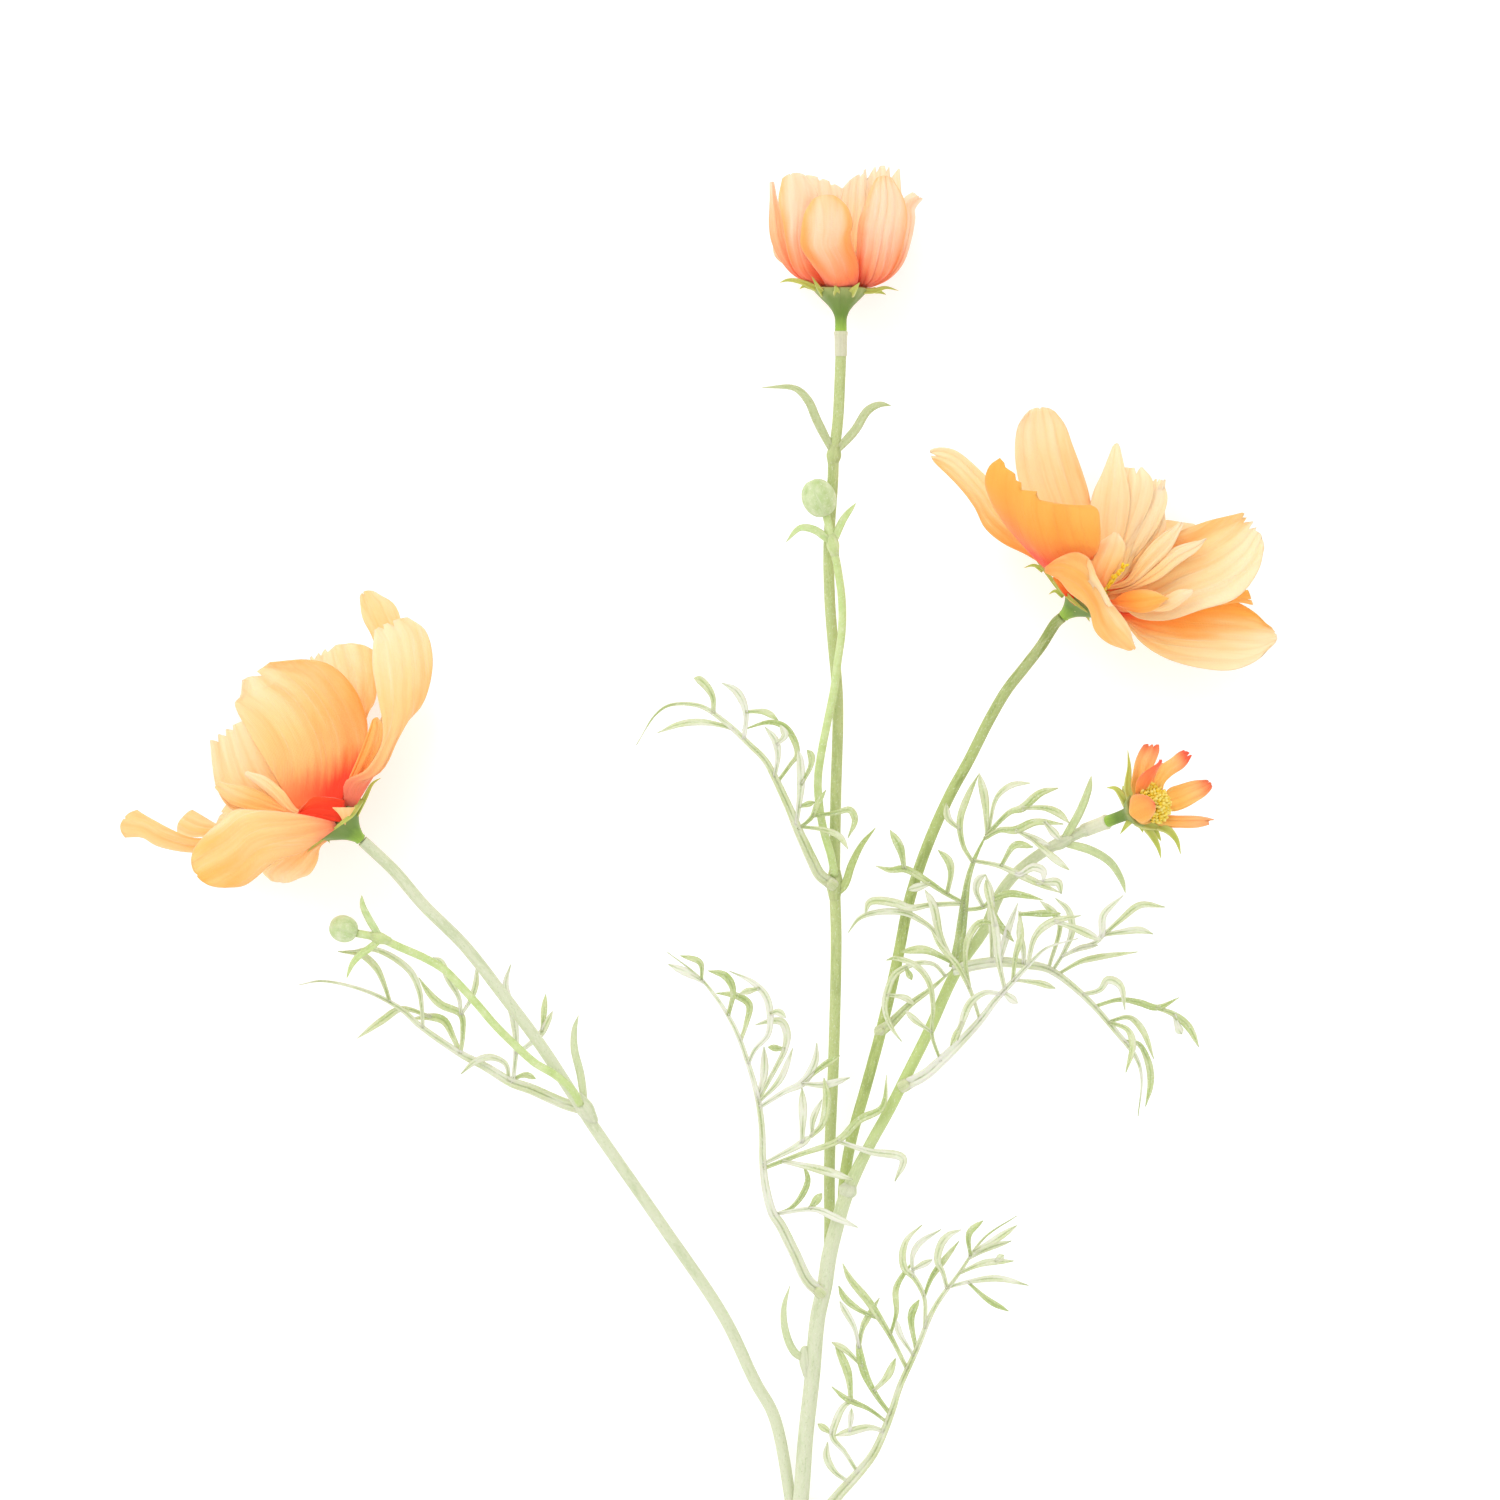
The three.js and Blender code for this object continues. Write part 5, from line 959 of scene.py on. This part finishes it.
TOP_PETALS = [
    # Back left, toothed
    petal([16, 94.25, 12.5, 102.25, 11.5, 108.5, 11.25, 115],
        [18.25, 94.25, 19.5, 102.25, 19.5, 108.5, 18.5, 112.25],
        [13, 9, 9], bow=-0.6, crown=0.6, notches=[(-0.35, 0.9, 0.3), (0.3, 0.9, 0.3)], pleat=0.12,
        depth=(-0.5, 0, 0.8), shown=(0.35,)),
    # Back right, toothed
    petal([21, 94.25, 21.75, 102.25, 22.25, 108.5, 22.75, 116],
        [25, 94.25, 28.5, 100.75, 30.25, 106.25, 30, 116.25],
        [13, 10, 10], bow=-0.6, crown=0.8,
        notches=[(-0.88, 2.6, 0.5), (-0.3, 1.4, 0.2), (0.2, 1.6, 0.2), (0.42, 3, 0.5)], pleats=4,
        pleat=0.12, depth=(-0.5, 0, 0.8), shown=(0.35,)),
    # Back middle
    petal([17.75, 94.25, 17.25, 102.25, 17.75, 108.5, 18.5, 112.25],
        [20, 94.25, 21.75, 102.25, 22.75, 108.5, 23, 115.25],
        [15, 12.5, 12.5], bow=-0.4, crown=0.9, notches=[(0.5, 0.8, 0.3)], pleat=0.12, depth=(-0.4, 0, 0.8),
        shown=(0.35,)),
    # Far right, with an outward folded tip
    petal([22.75, 92.75, 27, 94.75, 29.25, 98.75, 30, 104, 30.25, 108.5, 31, 110.5, 32.5, 111.5],
        [24, 92.5, 27.75, 94.25, 30.5, 97.25, 32, 101.25, 33, 106.25, 33, 108.25, 34.5, 110.25],
        [15, 16, 16, 17], bow=1.6, crown=0.4, notches=[(0.3, 0.9, 0.3)], pleats=2, inner_up=False,
        depth=(0.2,), blush=(0.4,)),
    # Far left, thin
    petal([11.75, 93.25, 8.5, 95.25, 6, 98.25, 4.25, 101.75, 3.75, 105.5, 4, 110, 4, 113.5],
        [13.75, 93, 10.75, 95, 8.5, 98.75, 7.5, 102.75, 6.75, 106.5, 5.5, 109.75, 4.75, 113.5],
        [15, 15, 14, 14], bow=1.4, crown=0.1, pleats=2, inner_up=False, depth=(0.45,), blush=(0.9,)),
    # Left
    petal([12.75, 92.75, 9.25, 95.75, 7.75, 99, 7, 103.25, 6.5, 106.25, 5.75, 110, 6.5, 114.25],
        [17.25, 92.5, 13.75, 96.25, 11.75, 100, 11.5, 104, 12.75, 108, 13.5, 111, 11.25, 114.75],
        [16, 21, 22, 21.5], bow=2, crown=0.7, notches=[(-0.35, 0.5, 0.2)], pleat=0.1, inner_up=False,
        depth=(-0.1, -0.3, 0.6, 0.5, 0.3), blush=(1.2,)),
    # Right, near
    petal([21.25, 92.25, 21.25, 96.25, 21.5, 100.75, 21.75, 105.25, 22.75, 108.5, 24, 112, 25.25, 114.25],
        [24, 92.75, 27.75, 95, 30, 98.75, 31, 102.75, 31.5, 106.25, 30.75, 110.25, 28.5, 114.25],
        [16, 23, 25, 24.5], bow=2.4, crown=0.3, pleats=5, pleat=0.3, inner_up=False,
        depth=(-0.15, 0, 0.5, 0.45, 0.75), blush=(1.4,)),
    # Front middle
    petal([16.25, 91.75, 14.5, 94.25, 12.25, 97.5, 10.25, 100.75, 10.25, 104, 11, 107.5, 12.5, 110],
        [20.5, 91.75, 21.5, 94.25, 21.5, 97.75, 20.5, 100.5, 20, 102.75, 20.5, 105.25, 19.5, 108.5,
        17.5, 110.5],
        [17, 26, 28, 28], bow=2.2, crown=0.7, pleats=2, pleat=0.1, inner_up=False,
        depth=(-0.3, 0, 1.4, 1, 0.8), blush=(1.9,)),
    hidden_petal(TOP, (12.4, 109, 5.6), (10.4, 99.4, 5), 6.2),
    hidden_petal(TOP, (20.4, 109, 4.4), (20.4, 99.4, 3.2), 6.2),
]

SMALL_PETALS = [
    # Upper right, long
    petal([81.2, -8.8, 81, -6, 82.2, -3.2, 84, -1.8, 85.8, -0.4, 86.8, 0],
        [82.2, -9.2, 83, -6.4, 84.4, -5, 86.6, -3.6, 87.8, -2.2, 88.4, -1],
        [29, 30, 31], bow=0.4, crown=0.2, notches=[(0.35, 1.1, 0.35)], pleats=2, pleat=0.12,
        depth=(-0.15, 0.15, 0, 0, 1.3), blush=(0.5,)),
    # Right, broad
    petal([82, -10.2, 83.8, -7.8, 85.8, -7, 88.6, -6.2, 91.2, -6],
        [82.2, -11.4, 84.2, -12.2, 86.8, -11.6, 89.4, -10.2, 91, -9.2, 92.2, -7.8],
        [28, 27, 28], bow=-0.6, notches=[(-0.4, 0.5, 0.2), (0.3, 0.4, 0.2)], pleat=0.15,
        depth=(-0.05, 0, 0, 0, 0.75), blush=(0.5,)),
    # Lower right, narrow
    petal([82, -13.6, 83.6, -13.2, 85.8, -13.2, 89.4, -13.2, 91.6, -13.6, 92.8, -14],
        [79.4, -14.4, 81.2, -15, 83.4, -15.4, 86.8, -15.6, 89.4, -15.4, 91.8, -14.8],
        [27, 28, 29], bow=0.6, crown=-0.3, notches=[(0, 0.8, 0.2)], pleats=2, depth=(0.3, 0, 0, 0, 0.1),
        blush=(0.5,)),
    # Upper left, with three teeth
    petal([77, -9.6, 76.2, -7.4, 76.6, -4.6, 77.2, -2, 78, -0.2, 78.8, 1],
        [78.8, -9.2, 79.4, -6, 80.4, -3.6, 81.2, -1.8, 81.8, -0.2, 81.8, 1],
        [29, 31, 32], bow=-0.8, crown=-0.1, notches=[(-0.3, 0.7, 0.3), (0.3, 0.8, 0.3)], pleats=2,
        pleat=0.12, depth=(0, 0, 0, 0, 0.7), blush=(0.5,)),
    # Coral, in front of it
    petal([77, -8.8, 77.4, -6.6, 78.8, -4.6, 80.4, -3.2, 81.6, -2.4, 82, -1.8],
        [78.8, -8.4, 80.8, -5.2, 82.2, -2.6, 82.4, -1.8],
        [32, 35, 36], bow=0.6, crown=0.1, pleats=1, pleat=0.1, inner_up=False, depth=(0.7, 0, 0, 0, 0.2),
        blush=(0.5,)),
    # Cupped, in front, seen from outside
    petal([77, -12.8, 76.2, -11.2, 76.2, -9.8, 77, -9, 78.6, -9, 80, -9.6, 80.8, -10.6],
        [77.2, -13.2, 78, -14, 79, -14.4, 79.8, -14, 81, -12.2, 81, -11.2],
        [32, 34, 35.5, 35.5], bow=1.3, crown=0.1, pleats=1, pleat=0.08, inner_up=False,
        depth=(0.15, -0.2, 0, 0, 0.5), blush=(0.5,)),
    hidden_petal(SMALL, (82, -4, 23.5), (80, -7, 26.6), 2.2),
]

# The bracts around each bloom: a half width and a route
TOP_STRAPS = [
    (0.6, [14.9, 91.1, 17.5, 13.8, 92.3, 22, 12.3, 94.5, 25.5]),
    (0.7, [17.4, 91, 20, 17.3, 92, 22.4, 16.9, 92.7, 24.6]),
    (0.8, [19.9, 91, 19, 20.8, 92, 22.4, 21.9, 93.3, 25]),
    (0.55, [14, 92.1, 17.5, 10.4, 93.7, 17.5, 7.6, 94.1, 17, 5.9, 93.6, 16.5]),
    (0.45, [12.1, 92.8, 16, 10.9, 93, 15, 9.9, 92.4, 14]),
    (0.55, [22.7, 91.9, 17.5, 25, 92, 17.5, 27.2, 92.6, 17, 29.8, 92, 16.5]),
    (0.45, [25, 92, 16, 26.1, 91.8, 15, 27.3, 91.3, 14]),
]

RIGHT_STRAPS = [
    (0.6, [65.5, 30.5, 29, 62.4, 31.6, 29, 59.5, 34.7, 29.4, 56.4, 38.6, 30]),
    (0.4, [58.4, 35.7, 28.6, 56.6, 36.8, 28.6, 54.5, 36.3, 28]),
    (0.4, [62.4, 30.6, 29, 60.8, 31.7, 28.5, 59.5, 31, 28]),
    (0.6, [64.9, 28.2, 31, 66.9, 27, 30, 67.7, 25.6, 28]),
    (0.5, [60.8, 33.8, 31, 62.8, 31, 34, 65.3, 28.7, 35, 68, 26.8, 32]),
]

LEFT_STRAPS = [
    (0.5, [-78.7, -13.1, 26, -76.8, -9.5, 26, -75.3, -6.7, 26.5, -73.5, -5.5, 27]),
    (0.5, [-82, -15.4, 28, -84.6, -17.2, 26, -86.7, -18.8, 25, -88.4, -20.4, 24.5]),
    (0.4, [-83.4, -16.8, 26, -84.2, -17.7, 25, -83.9, -18.6, 24]),
    (0.5, [-77.5, -9.9, 26, -79.5, -13.1, 30.5, -81.9, -15, 30.5, -84.5, -17, 27]),
]

SMALL_STRAPS = [
    (0.85, [76.1, -10.1, 28, 75.4, -8.3, 28, 75.4, -6, 28, 75.6, -3.5, 28, 75.3, 0, 28]),
    (0.8, [75.6, -11.7, 27, 74.4, -9.5, 28, 72.9, -7.7, 28, 71.1, -7.5, 27]),
    (0.75, [76.7, -13.1, 26, 75.5, -14.5, 26, 73.9, -16.8, 24]),
    (0.65, [77.3, -13.8, 26, 78.1, -15.3, 25, 78.4, -16.5, 24]),
    (0.75, [78.3, -14.4, 27, 80.1, -16.8, 27, 81.4, -19.3, 27, 82, -21.7, 26]),
    (0.7, [79.6, -14.7, 26, 81.2, -16.7, 25, 82.1, -18.2, 24]),
    (0.85, [81, -14.9, 27, 83.3, -15.9, 28, 85, -17.9, 28, 85.9, -20.8, 27]),
    (1.3, [75.8, -7.4, 27.4, 75.4, -9.9, 27.6, 75.8, -12.2, 27.6, 77.1, -13.8, 27]),
    (1.1, [77.2, -13.9, 27.2, 79.2, -14.9, 27.4, 81, -15.3, 27.4, 82.8, -15.6, 27]),
]


# Materials

LEAF_GLOW = (0.6, 1, 0.4)


def srgb(red, green, blue):
    """A colour given as red, green and blue up to 255, as the linear one that nodes take."""
    def linear(value):
        value = value / 255
        return value / 12.92 if value <= 0.04045 else ((value + 0.055) / 1.055) ** 2.4
    return (linear(red), linear(green), linear(blue), 1)


class Value:
    """An output of a material's node tree, for sums and products."""

    def __init__(self, pattern, socket):
        self.pattern, self.socket = pattern, socket

    def joined(self, operation, other=0.0):
        return self.pattern.node("Math", {"operation": operation}, {0: self, 1: other})

    def __add__(self, other):
        return self.joined("ADD", other)

    def __sub__(self, other):
        return self.joined("SUBTRACT", other)

    def __mul__(self, other):
        return self.joined("MULTIPLY", other)

    def __abs__(self):
        return self.joined("ABSOLUTE")


class Pattern:
    """The node tree of a material, written as expressions."""

    def __init__(self, name, roughness, sheen=0.0, soft=0.0, glow=(1, 0.6, 0.35)):
        self.material = bpy.data.materials.new(name)
        self.material.use_nodes = True
        self.tree = self.material.node_tree
        self.shader = self.tree.nodes["Principled BSDF"]
        self.set_shader({"Roughness": roughness, "Sheen Weight": sheen, "Specular IOR Level": 0.3,
                         "Subsurface Weight": soft, "Subsurface Radius": glow, "Subsurface Scale": 1.5 * MM})

    def set_shader(self, values):
        for key, value in values.items():
            self.put(self.shader.inputs[key], value)

    def put(self, socket, value):
        if isinstance(value, Value):
            self.tree.links.new(value.socket, socket)
        else:
            socket.default_value = value

    def node(self, kind, settings, inputs, output=0):
        node = self.tree.nodes.new("ShaderNode" + kind)
        for key, value in settings.items():
            setattr(node, key, value)
        for key, value in inputs.items():
            self.put(node.inputs[key], value)
        return Value(self, node.outputs[output])

    def read(self, name):
        """An attribute of the mesh and its three numbers."""
        whole = self.node("Attribute", {"attribute_name": name}, {}, "Vector")
        parts = self.tree.nodes.new("ShaderNodeSeparateXYZ")
        self.put(parts.inputs[0], whole)
        return whole, *(Value(self, socket) for socket in parts.outputs)

    def noise(self, place, stretch, detail=3.0, roughness=0.55):
        """Noise between 0 and 1 with its spots stretched: one number per axis, in spots a mm."""
        scaled = self.node("VectorMath", {"operation": "MULTIPLY"}, {0: place, 1: stretch})
        return self.node("TexNoise", {}, {"Vector": scaled, "Scale": 1.0, "Detail": detail,
                                          "Roughness": roughness})

    def step(self, value, low, high):
        """0 below low, 1 above high, smooth between."""
        return self.node("MapRange", {"interpolation_type": "SMOOTHSTEP"},
                         {"Value": value, "From Min": low, "From Max": high})

    def ramp(self, value, stops):
        """A run of colours through stops: a place from 0 to 1 and the colour's red, green, blue."""
        node = self.tree.nodes.new("ShaderNodeValToRGB")
        elements = node.color_ramp.elements
        first, *between, last = [(place, srgb(*colour)) for place, *colour in stops]
        elements[0].position, elements[0].color = first
        elements[1].position, elements[1].color = last
        for place, colour in between:
            elements.new(place).color = colour
        self.put(node.inputs[0], value)
        return Value(self, node.outputs[0])

    def mix(self, share, a, b, kind="MIX"):
        return self.node("Mix", {"data_type": "RGBA", "blend_type": kind}, {0: share, 6: a, 7: b}, 2)

    def stain(self, share, colour, stain):
        """A colour multiplied by another, for a share."""
        return self.mix(share, colour, self.mix(1.0, colour, stain, "MULTIPLY"))

    def finish(self, colour, height, depth):
        """Sets the colour and a bump of a depth in millimetres."""
        bump = self.node("Bump", {}, {"Strength": 0.6, "Distance": depth * MM, "Height": height})
        self.set_shader({"Base Color": colour, "Normal": bump})
        return self.material


def petal_material(name, inner, outer, deep, base, base_outside, streak, streaks):
    """Cloth whose colour runs from root to tip, with long pale streaks, a fine weave and painted shade in
    the valleys of its pleats.
    """
    p = Pattern(name, 0.8, sheen=0.2, soft=0.25)
    place = p.read("place")[0]
    _, s, side, depth = p.read("tone")
    _, _, pleat, blush = p.read("form")
    inside = p.step(side, 0.4, 0.6)
    shifted = s + (p.noise(place, (0.1, 0.25, 1.0), 4.0) - 0.5) * 0.25
    colour = p.mix(inside, p.ramp(shifted, outer), p.ramp(shifted, inner))
    deepness = depth + (p.noise(place, (0.07, 0.3, 1.0), 3.0) - 0.5) * 0.9
    colour = p.mix(p.step(deepness, 0.0, 1.0), colour, p.ramp(shifted, deep))
    fibres = p.step(p.noise(place, (0.05, 1.3, 1.0), 5.0, 0.7), 0.5, 0.75)
    fade = p.step(s, 0.1, 0.5) * p.step(deepness, 0.9, 0.3)
    colour = p.mix(fibres * fade * streaks, colour, srgb(*streak))
    veins = p.step(p.noise(place, (0.04, 0.8, 1.0), 4.0, 0.6), 0.5, 0.3)
    colour = p.stain(veins * 0.2, colour, srgb(255, 205, 165))
    # Painted shade: darker orange in the valleys of the pleats
    colour = p.stain(p.step(pleat, 0.3, -1.2) * 0.16, colour, srgb(255, 200, 150))
    reach = s + (p.noise(place, (0.08, 0.9, 1.0), 3.0) - 0.5) * 0.22
    red = p.mix(inside, srgb(*base_outside), srgb(*base))
    colour = p.mix(p.step(reach, 0.34, 0.04) * blush, colour, red)
    threads, rows = (p.node("TexWave", {"wave_type": "BANDS", "bands_direction": way},
                            {"Vector": place, "Scale": 1.1, "Distortion": 1.5, "Detail": 2.0})
                     for way in "XY")
    return p.finish(colour, (threads + rows) * 0.3 + fibres * 1.2, 0.12)


def stem_material(name, pale, green, dark):
    """Plastic with a whitish coating that has flaked off in long patches."""
    p = Pattern(name, 0.62, soft=0.1, glow=LEAF_GLOW)
    pale, green, dark = srgb(*pale), srgb(*green), srgb(*dark)
    place = p.read("place")[0]
    _, zone, bare, coat = p.read("tone")
    patches = p.noise(place, (0.1, 0.5, 0.5), 6.0, 0.7)
    specks = p.noise(place, (1.6, 3.0, 3.0), 3.0, 0.7)
    colour = p.mix(zone, pale, green)
    colour = p.mix(p.step(patches, 0.5, 0.62) * (bare + 0.25), colour, dark)
    colour = p.mix(bare * 0.6, colour, dark)
    colour = p.mix(p.step(specks, 0.56, 0.72) * 0.5, colour, srgb(232, 234, 220))
    colour = p.mix(p.step(specks, 0.42, 0.3) * 0.6, colour, dark)
    colour = p.mix(p.step(coat, 0.85, 1.0) * 0.4, colour, srgb(234, 230, 204))
    return p.finish(colour, patches + specks * 0.5, 0.15)


def leaf_material():
    p = Pattern("leaf", 0.6, soft=0.15, glow=LEAF_GLOW)
    place, _, across, _ = p.read("place")
    _, pale, seed, _ = p.read("tone")
    clouds = p.noise(place, (0.12, 0.6, 0.6), 4.0, 0.6)
    powder = p.noise(place, (2.2, 3.2, 3.2), 3.0, 0.6)
    white = pale * 0.5 + clouds * 0.55 + (seed - 0.6) * 0.28
    colour = p.ramp(white, [(0.28, 140, 156, 108), (0.44, 174, 188, 122), (0.58, 204, 210, 164),
                            (0.76, 226, 226, 210)])
    # Painted shade: darker green in patches along the middle of each strand, in its groove
    painted_groove_shade = p.step(abs(across), 0.28, 0.02) * p.step(clouds, 0.62, 0.42)
    colour = p.mix(painted_groove_shade * 0.6, colour, srgb(144, 160, 98))
    colour = p.mix(p.step(powder, 0.52, 0.7) * 0.5, colour, srgb(230, 232, 220))
    return p.finish(colour, powder, 0.1)


def calyx_material():
    p = Pattern("calyx", 0.5, soft=0.15, glow=LEAF_GLOW)
    place, along, across, _ = p.read("place")
    _, _, bract, _ = p.read("tone")
    clouds = p.noise(place, (0.3, 0.8, 0.5), 4.0, 0.6)
    funnel = p.ramp(along * 0.09 + clouds * 0.25, [(0.1, 158, 194, 76), (0.42, 108, 138, 56),
                                                   (0.7, 120, 142, 70), (0.95, 172, 180, 112)])
    strap = p.mix(clouds, srgb(166, 176, 70), srgb(206, 206, 112))
    strap = p.mix(p.step(abs(across), 0.35, 0.8) * 0.7, strap, srgb(214, 214, 140))
    colour = p.mix(p.step(bract, 0.4, 0.6), funnel, strap)
    return p.finish(colour, clouds, 0.15)


def disc_material():
    p = Pattern("disc", 0.7, soft=0.1)
    place, along, _, _ = p.read("place")
    _, grain, seed, _ = p.read("tone")
    grit = p.noise(place, (2.0, 2.0, 2.0), 3.0)
    # Partly painted shade, each grain darker towards its root, and partly random tone from its seed and grit
    tone_and_painted_shade = along * 0.45 + seed * 0.35 + grit * 0.25
    colour = p.ramp(tone_and_painted_shade, [(0.1, 216, 166, 10), (0.32, 255, 204, 26), (0.65, 255, 222, 62),
                            (1.0, 255, 238, 136)])
    # Painted shade: the dome, seen only between the grains, is dark olive
    colour = p.mix(p.step(grain, 0.6, 0.4), colour, srgb(120, 118, 34))
    return p.finish(colour, grit, 0.2)


def bud_material():
    p = Pattern("bud", 0.55, soft=0.15, glow=LEAF_GLOW)
    place = p.read("place")[0]
    zone = p.read("tone")[1]
    clouds = p.noise(place, (0.4, 0.4, 0.4), 5.0, 0.65)
    specks = p.noise(place, (2.0, 2.4, 2.4), 3.0, 0.7)
    colour = p.ramp(clouds, [(0.3, 176, 196, 132), (0.5, 196, 210, 158), (0.7, 216, 222, 186)])
    colour = p.mix(zone * 0.6, colour, srgb(196, 214, 128))
    colour = p.mix(p.step(specks, 0.56, 0.7) * 0.5, colour, srgb(232, 236, 218))
    return p.finish(colour, specks, 0.12)


def floor_material():
    p = Pattern("floor", 1.0)
    grain = p.node("TexNoise", {}, {"Scale": 40.0, "Detail": 2.0})
    grey = p.node("MapRange", {}, {"Value": grain, "From Min": 0.3, "From Max": 0.7, "To Min": 0.93,
                                   "To Max": 0.95})
    p.set_shader({"Specular IOR Level": 0.0, "Emission Color": (1, 1, 1, 1), "Emission Strength": 0.2,
                  "Base Color": grey})
    return p.material


peach_petals = petal_material(
    "peach petals",
    inner=[(0.03, 255, 140, 76), (0.22, 255, 184, 112), (0.5, 255, 206, 138), (0.95, 255, 226, 184)],
    outer=[(0.03, 250, 130, 90), (0.22, 255, 178, 112), (0.6, 255, 204, 140), (0.95, 255, 224, 180)],
    deep=[(0.03, 250, 76, 30), (0.22, 255, 128, 48), (0.55, 255, 162, 62), (0.95, 255, 180, 84)],
    base=(243, 60, 26), base_outside=(232, 112, 92), streak=(255, 236, 206), streaks=0.3)
pink_petals = petal_material(
    "pink petals",
    inner=[(0.03, 255, 130, 80), (0.3, 255, 180, 104), (0.6, 255, 216, 160), (0.95, 255, 232, 200)],
    outer=[(0.03, 250, 110, 70), (0.3, 255, 150, 104), (0.6, 255, 212, 184), (0.95, 255, 222, 194)],
    deep=[(0.03, 250, 90, 50), (0.3, 255, 128, 66), (0.6, 255, 168, 92), (0.95, 255, 186, 112)],
    base=(246, 92, 52), base_outside=(250, 100, 62), streak=(255, 236, 218), streaks=0.35)
coral_petals = petal_material(
    "coral petals",
    inner=[(0.03, 250, 208, 110), (0.4, 255, 190, 100), (0.75, 255, 200, 130), (0.95, 255, 190, 120)],
    outer=[(0.03, 250, 170, 70), (0.4, 255, 176, 80), (0.75, 255, 174, 90), (0.95, 255, 160, 90)],
    deep=[(0.03, 255, 140, 60), (0.4, 252, 112, 60), (0.75, 250, 104, 66), (0.95, 244, 92, 70)],
    base=(240, 170, 70), base_outside=(240, 160, 66), streak=(255, 214, 160), streaks=0.3)
sage = stem_material("sage stem", (212, 216, 186), (190, 206, 132), (170, 186, 134))
green = stem_material("green stem", (194, 197, 160), (186, 200, 126), (142, 158, 86))
leaf, calyx, disc, bud_look = leaf_material(), calyx_material(), disc_material(), bud_material()


# The stems and the leaves

make_stem("main_stem", sage, MAIN_ROUTE, MAIN_RADII, MAIN_NODES, MAIN_BRACTS, MAIN_GREENS,
          ending=sleeve(SMALL, 6.5, 1.4))
make_stem("top_stem", green, TOP_ROUTE, [STEM_RADIUS], TOP_NODES, TOP_BRACTS, GREEN,
          ending=sleeve(TOP, 5.0, 1.25))
make_stem("left_branch", sage, LEFT_ROUTE, [LEFT_BRANCH_RADIUS], LEFT_NODES, LEFT_BRACTS, SAGE)
make_stem("right_branch", green, RIGHT_ROUTE, [STEM_RADIUS], [], [], RIGHT_GREENS, RIGHT_DARKS)
make_stem("middle_bud_stalk", bud_look, MIDDLE_BUD_ROUTE, [BUD_STALK_RADIUS], MIDDLE_BUD_NODES,
          MIDDLE_BUD_BRACTS, GREEN, ending=bud((13.8, 50.4, 19.4), (-0.45, 1, 0), 3.4, 3.9))
make_stem("left_bud_stalk", bud_look, LEFT_BUD_ROUTE, [BUD_STALK_RADIUS], LEFT_BUD_NODES,
          LEFT_BUD_BRACTS, GREEN, ending=bud((-81.2, -35.7, 22.2), (-1, 0.3, 0.05), 2.7, 2.9))
for node, lists in LEAVES.items():
    feathery_leaf(node, *lists, leaf, LEAF_CUFFS.get(node, 1.0))


# The blooms

make_calyx(TOP, "top_bloom", calyx, TOP_STRAPS, lean=15)
make_calyx(RIGHT, "right_bloom", calyx, RIGHT_STRAPS)
make_calyx(LEFT, "left_bloom", calyx, LEFT_STRAPS)
make_calyx(SMALL, "small_bloom", calyx, SMALL_STRAPS, (2.4, 2.4, 2.4), 50)

make_disc(TOP, "top_bloom", disc)
make_disc(RIGHT, "right_bloom", disc, spires=[((70.6, 32.1, 33.2), (74.3, 36.6, 36.6), 0.34, 42)])
make_disc(LEFT, "left_bloom", disc, count=30, radius=1.5, rise=0.5)
make_disc(SMALL, "small_bloom", disc, count=150, radius=3.9, rise=2.8, foot_height=2.6)

make_petals(TOP, "top_bloom", TOP_PETALS, pink_petals)
make_petals(RIGHT, "right_bloom", RIGHT_PETALS, peach_petals, hub_blush=0.0)
make_petals(LEFT, "left_bloom", LEFT_PETALS, peach_petals)
make_petals(SMALL, "small_bloom", SMALL_PETALS, coral_petals, SMALL_PETAL_GRID)


# The floor, the light and the camera

LIGHT_POWER, LIGHT_SIZE = 10, 1.2
LIGHT_PLACE = (-0.9, 1.1, 1.6)
WORLD_STRENGTH = 1.06
FLOOR_HALF = 3.0


def placed(name, data, place):
    thing = bpy.data.objects.new(name, data)
    bpy.context.scene.collection.objects.link(thing)
    thing.location = place
    return thing


photo_centre = mathutils.Vector((-BOX_CENTRE * MM).tolist())
floor_mesh = bpy.data.meshes.new("floor")
corners = [(x * FLOOR_HALF, y * FLOOR_HALF, 0) for x, y in ((-1, -1), (1, -1), (1, 1), (-1, 1))]
floor_mesh.from_pydata(corners, [], [(0, 1, 2, 3)])
floor_mesh.materials.append(floor_material())
floor = placed("floor", floor_mesh, (0, 0, 0))

light = bpy.data.lights.new("key", "AREA")
light.energy, light.shape, light.size = LIGHT_POWER, "DISK", LIGHT_SIZE
lamp = placed("key", light, photo_centre + mathutils.Vector(LIGHT_PLACE))
lamp.rotation_euler = (photo_centre - lamp.location).to_track_quat("-Z", "Y").to_euler()
world = bpy.data.worlds.new("studio")
world.use_nodes = True
background = world.node_tree.nodes["Background"].inputs
background["Color"].default_value = (1, 1, 1, 1)
background["Strength"].default_value = WORLD_STRENGTH
bpy.context.scene.world = world

camera_data = bpy.data.cameras.new("camera")
camera_data.sensor_width = SENSOR_WIDTH
camera_data.lens = SENSOR_WIDTH * (EYE_HEIGHT - VIEW_LEVEL) / VIEW_WIDTH
camera_data.clip_end = 10
bpy.context.scene.camera = placed("camera", camera_data, (photo_centre.x, photo_centre.y, EYE_HEIGHT * MM))
bpy.context.scene.view_settings.view_transform = "Standard"
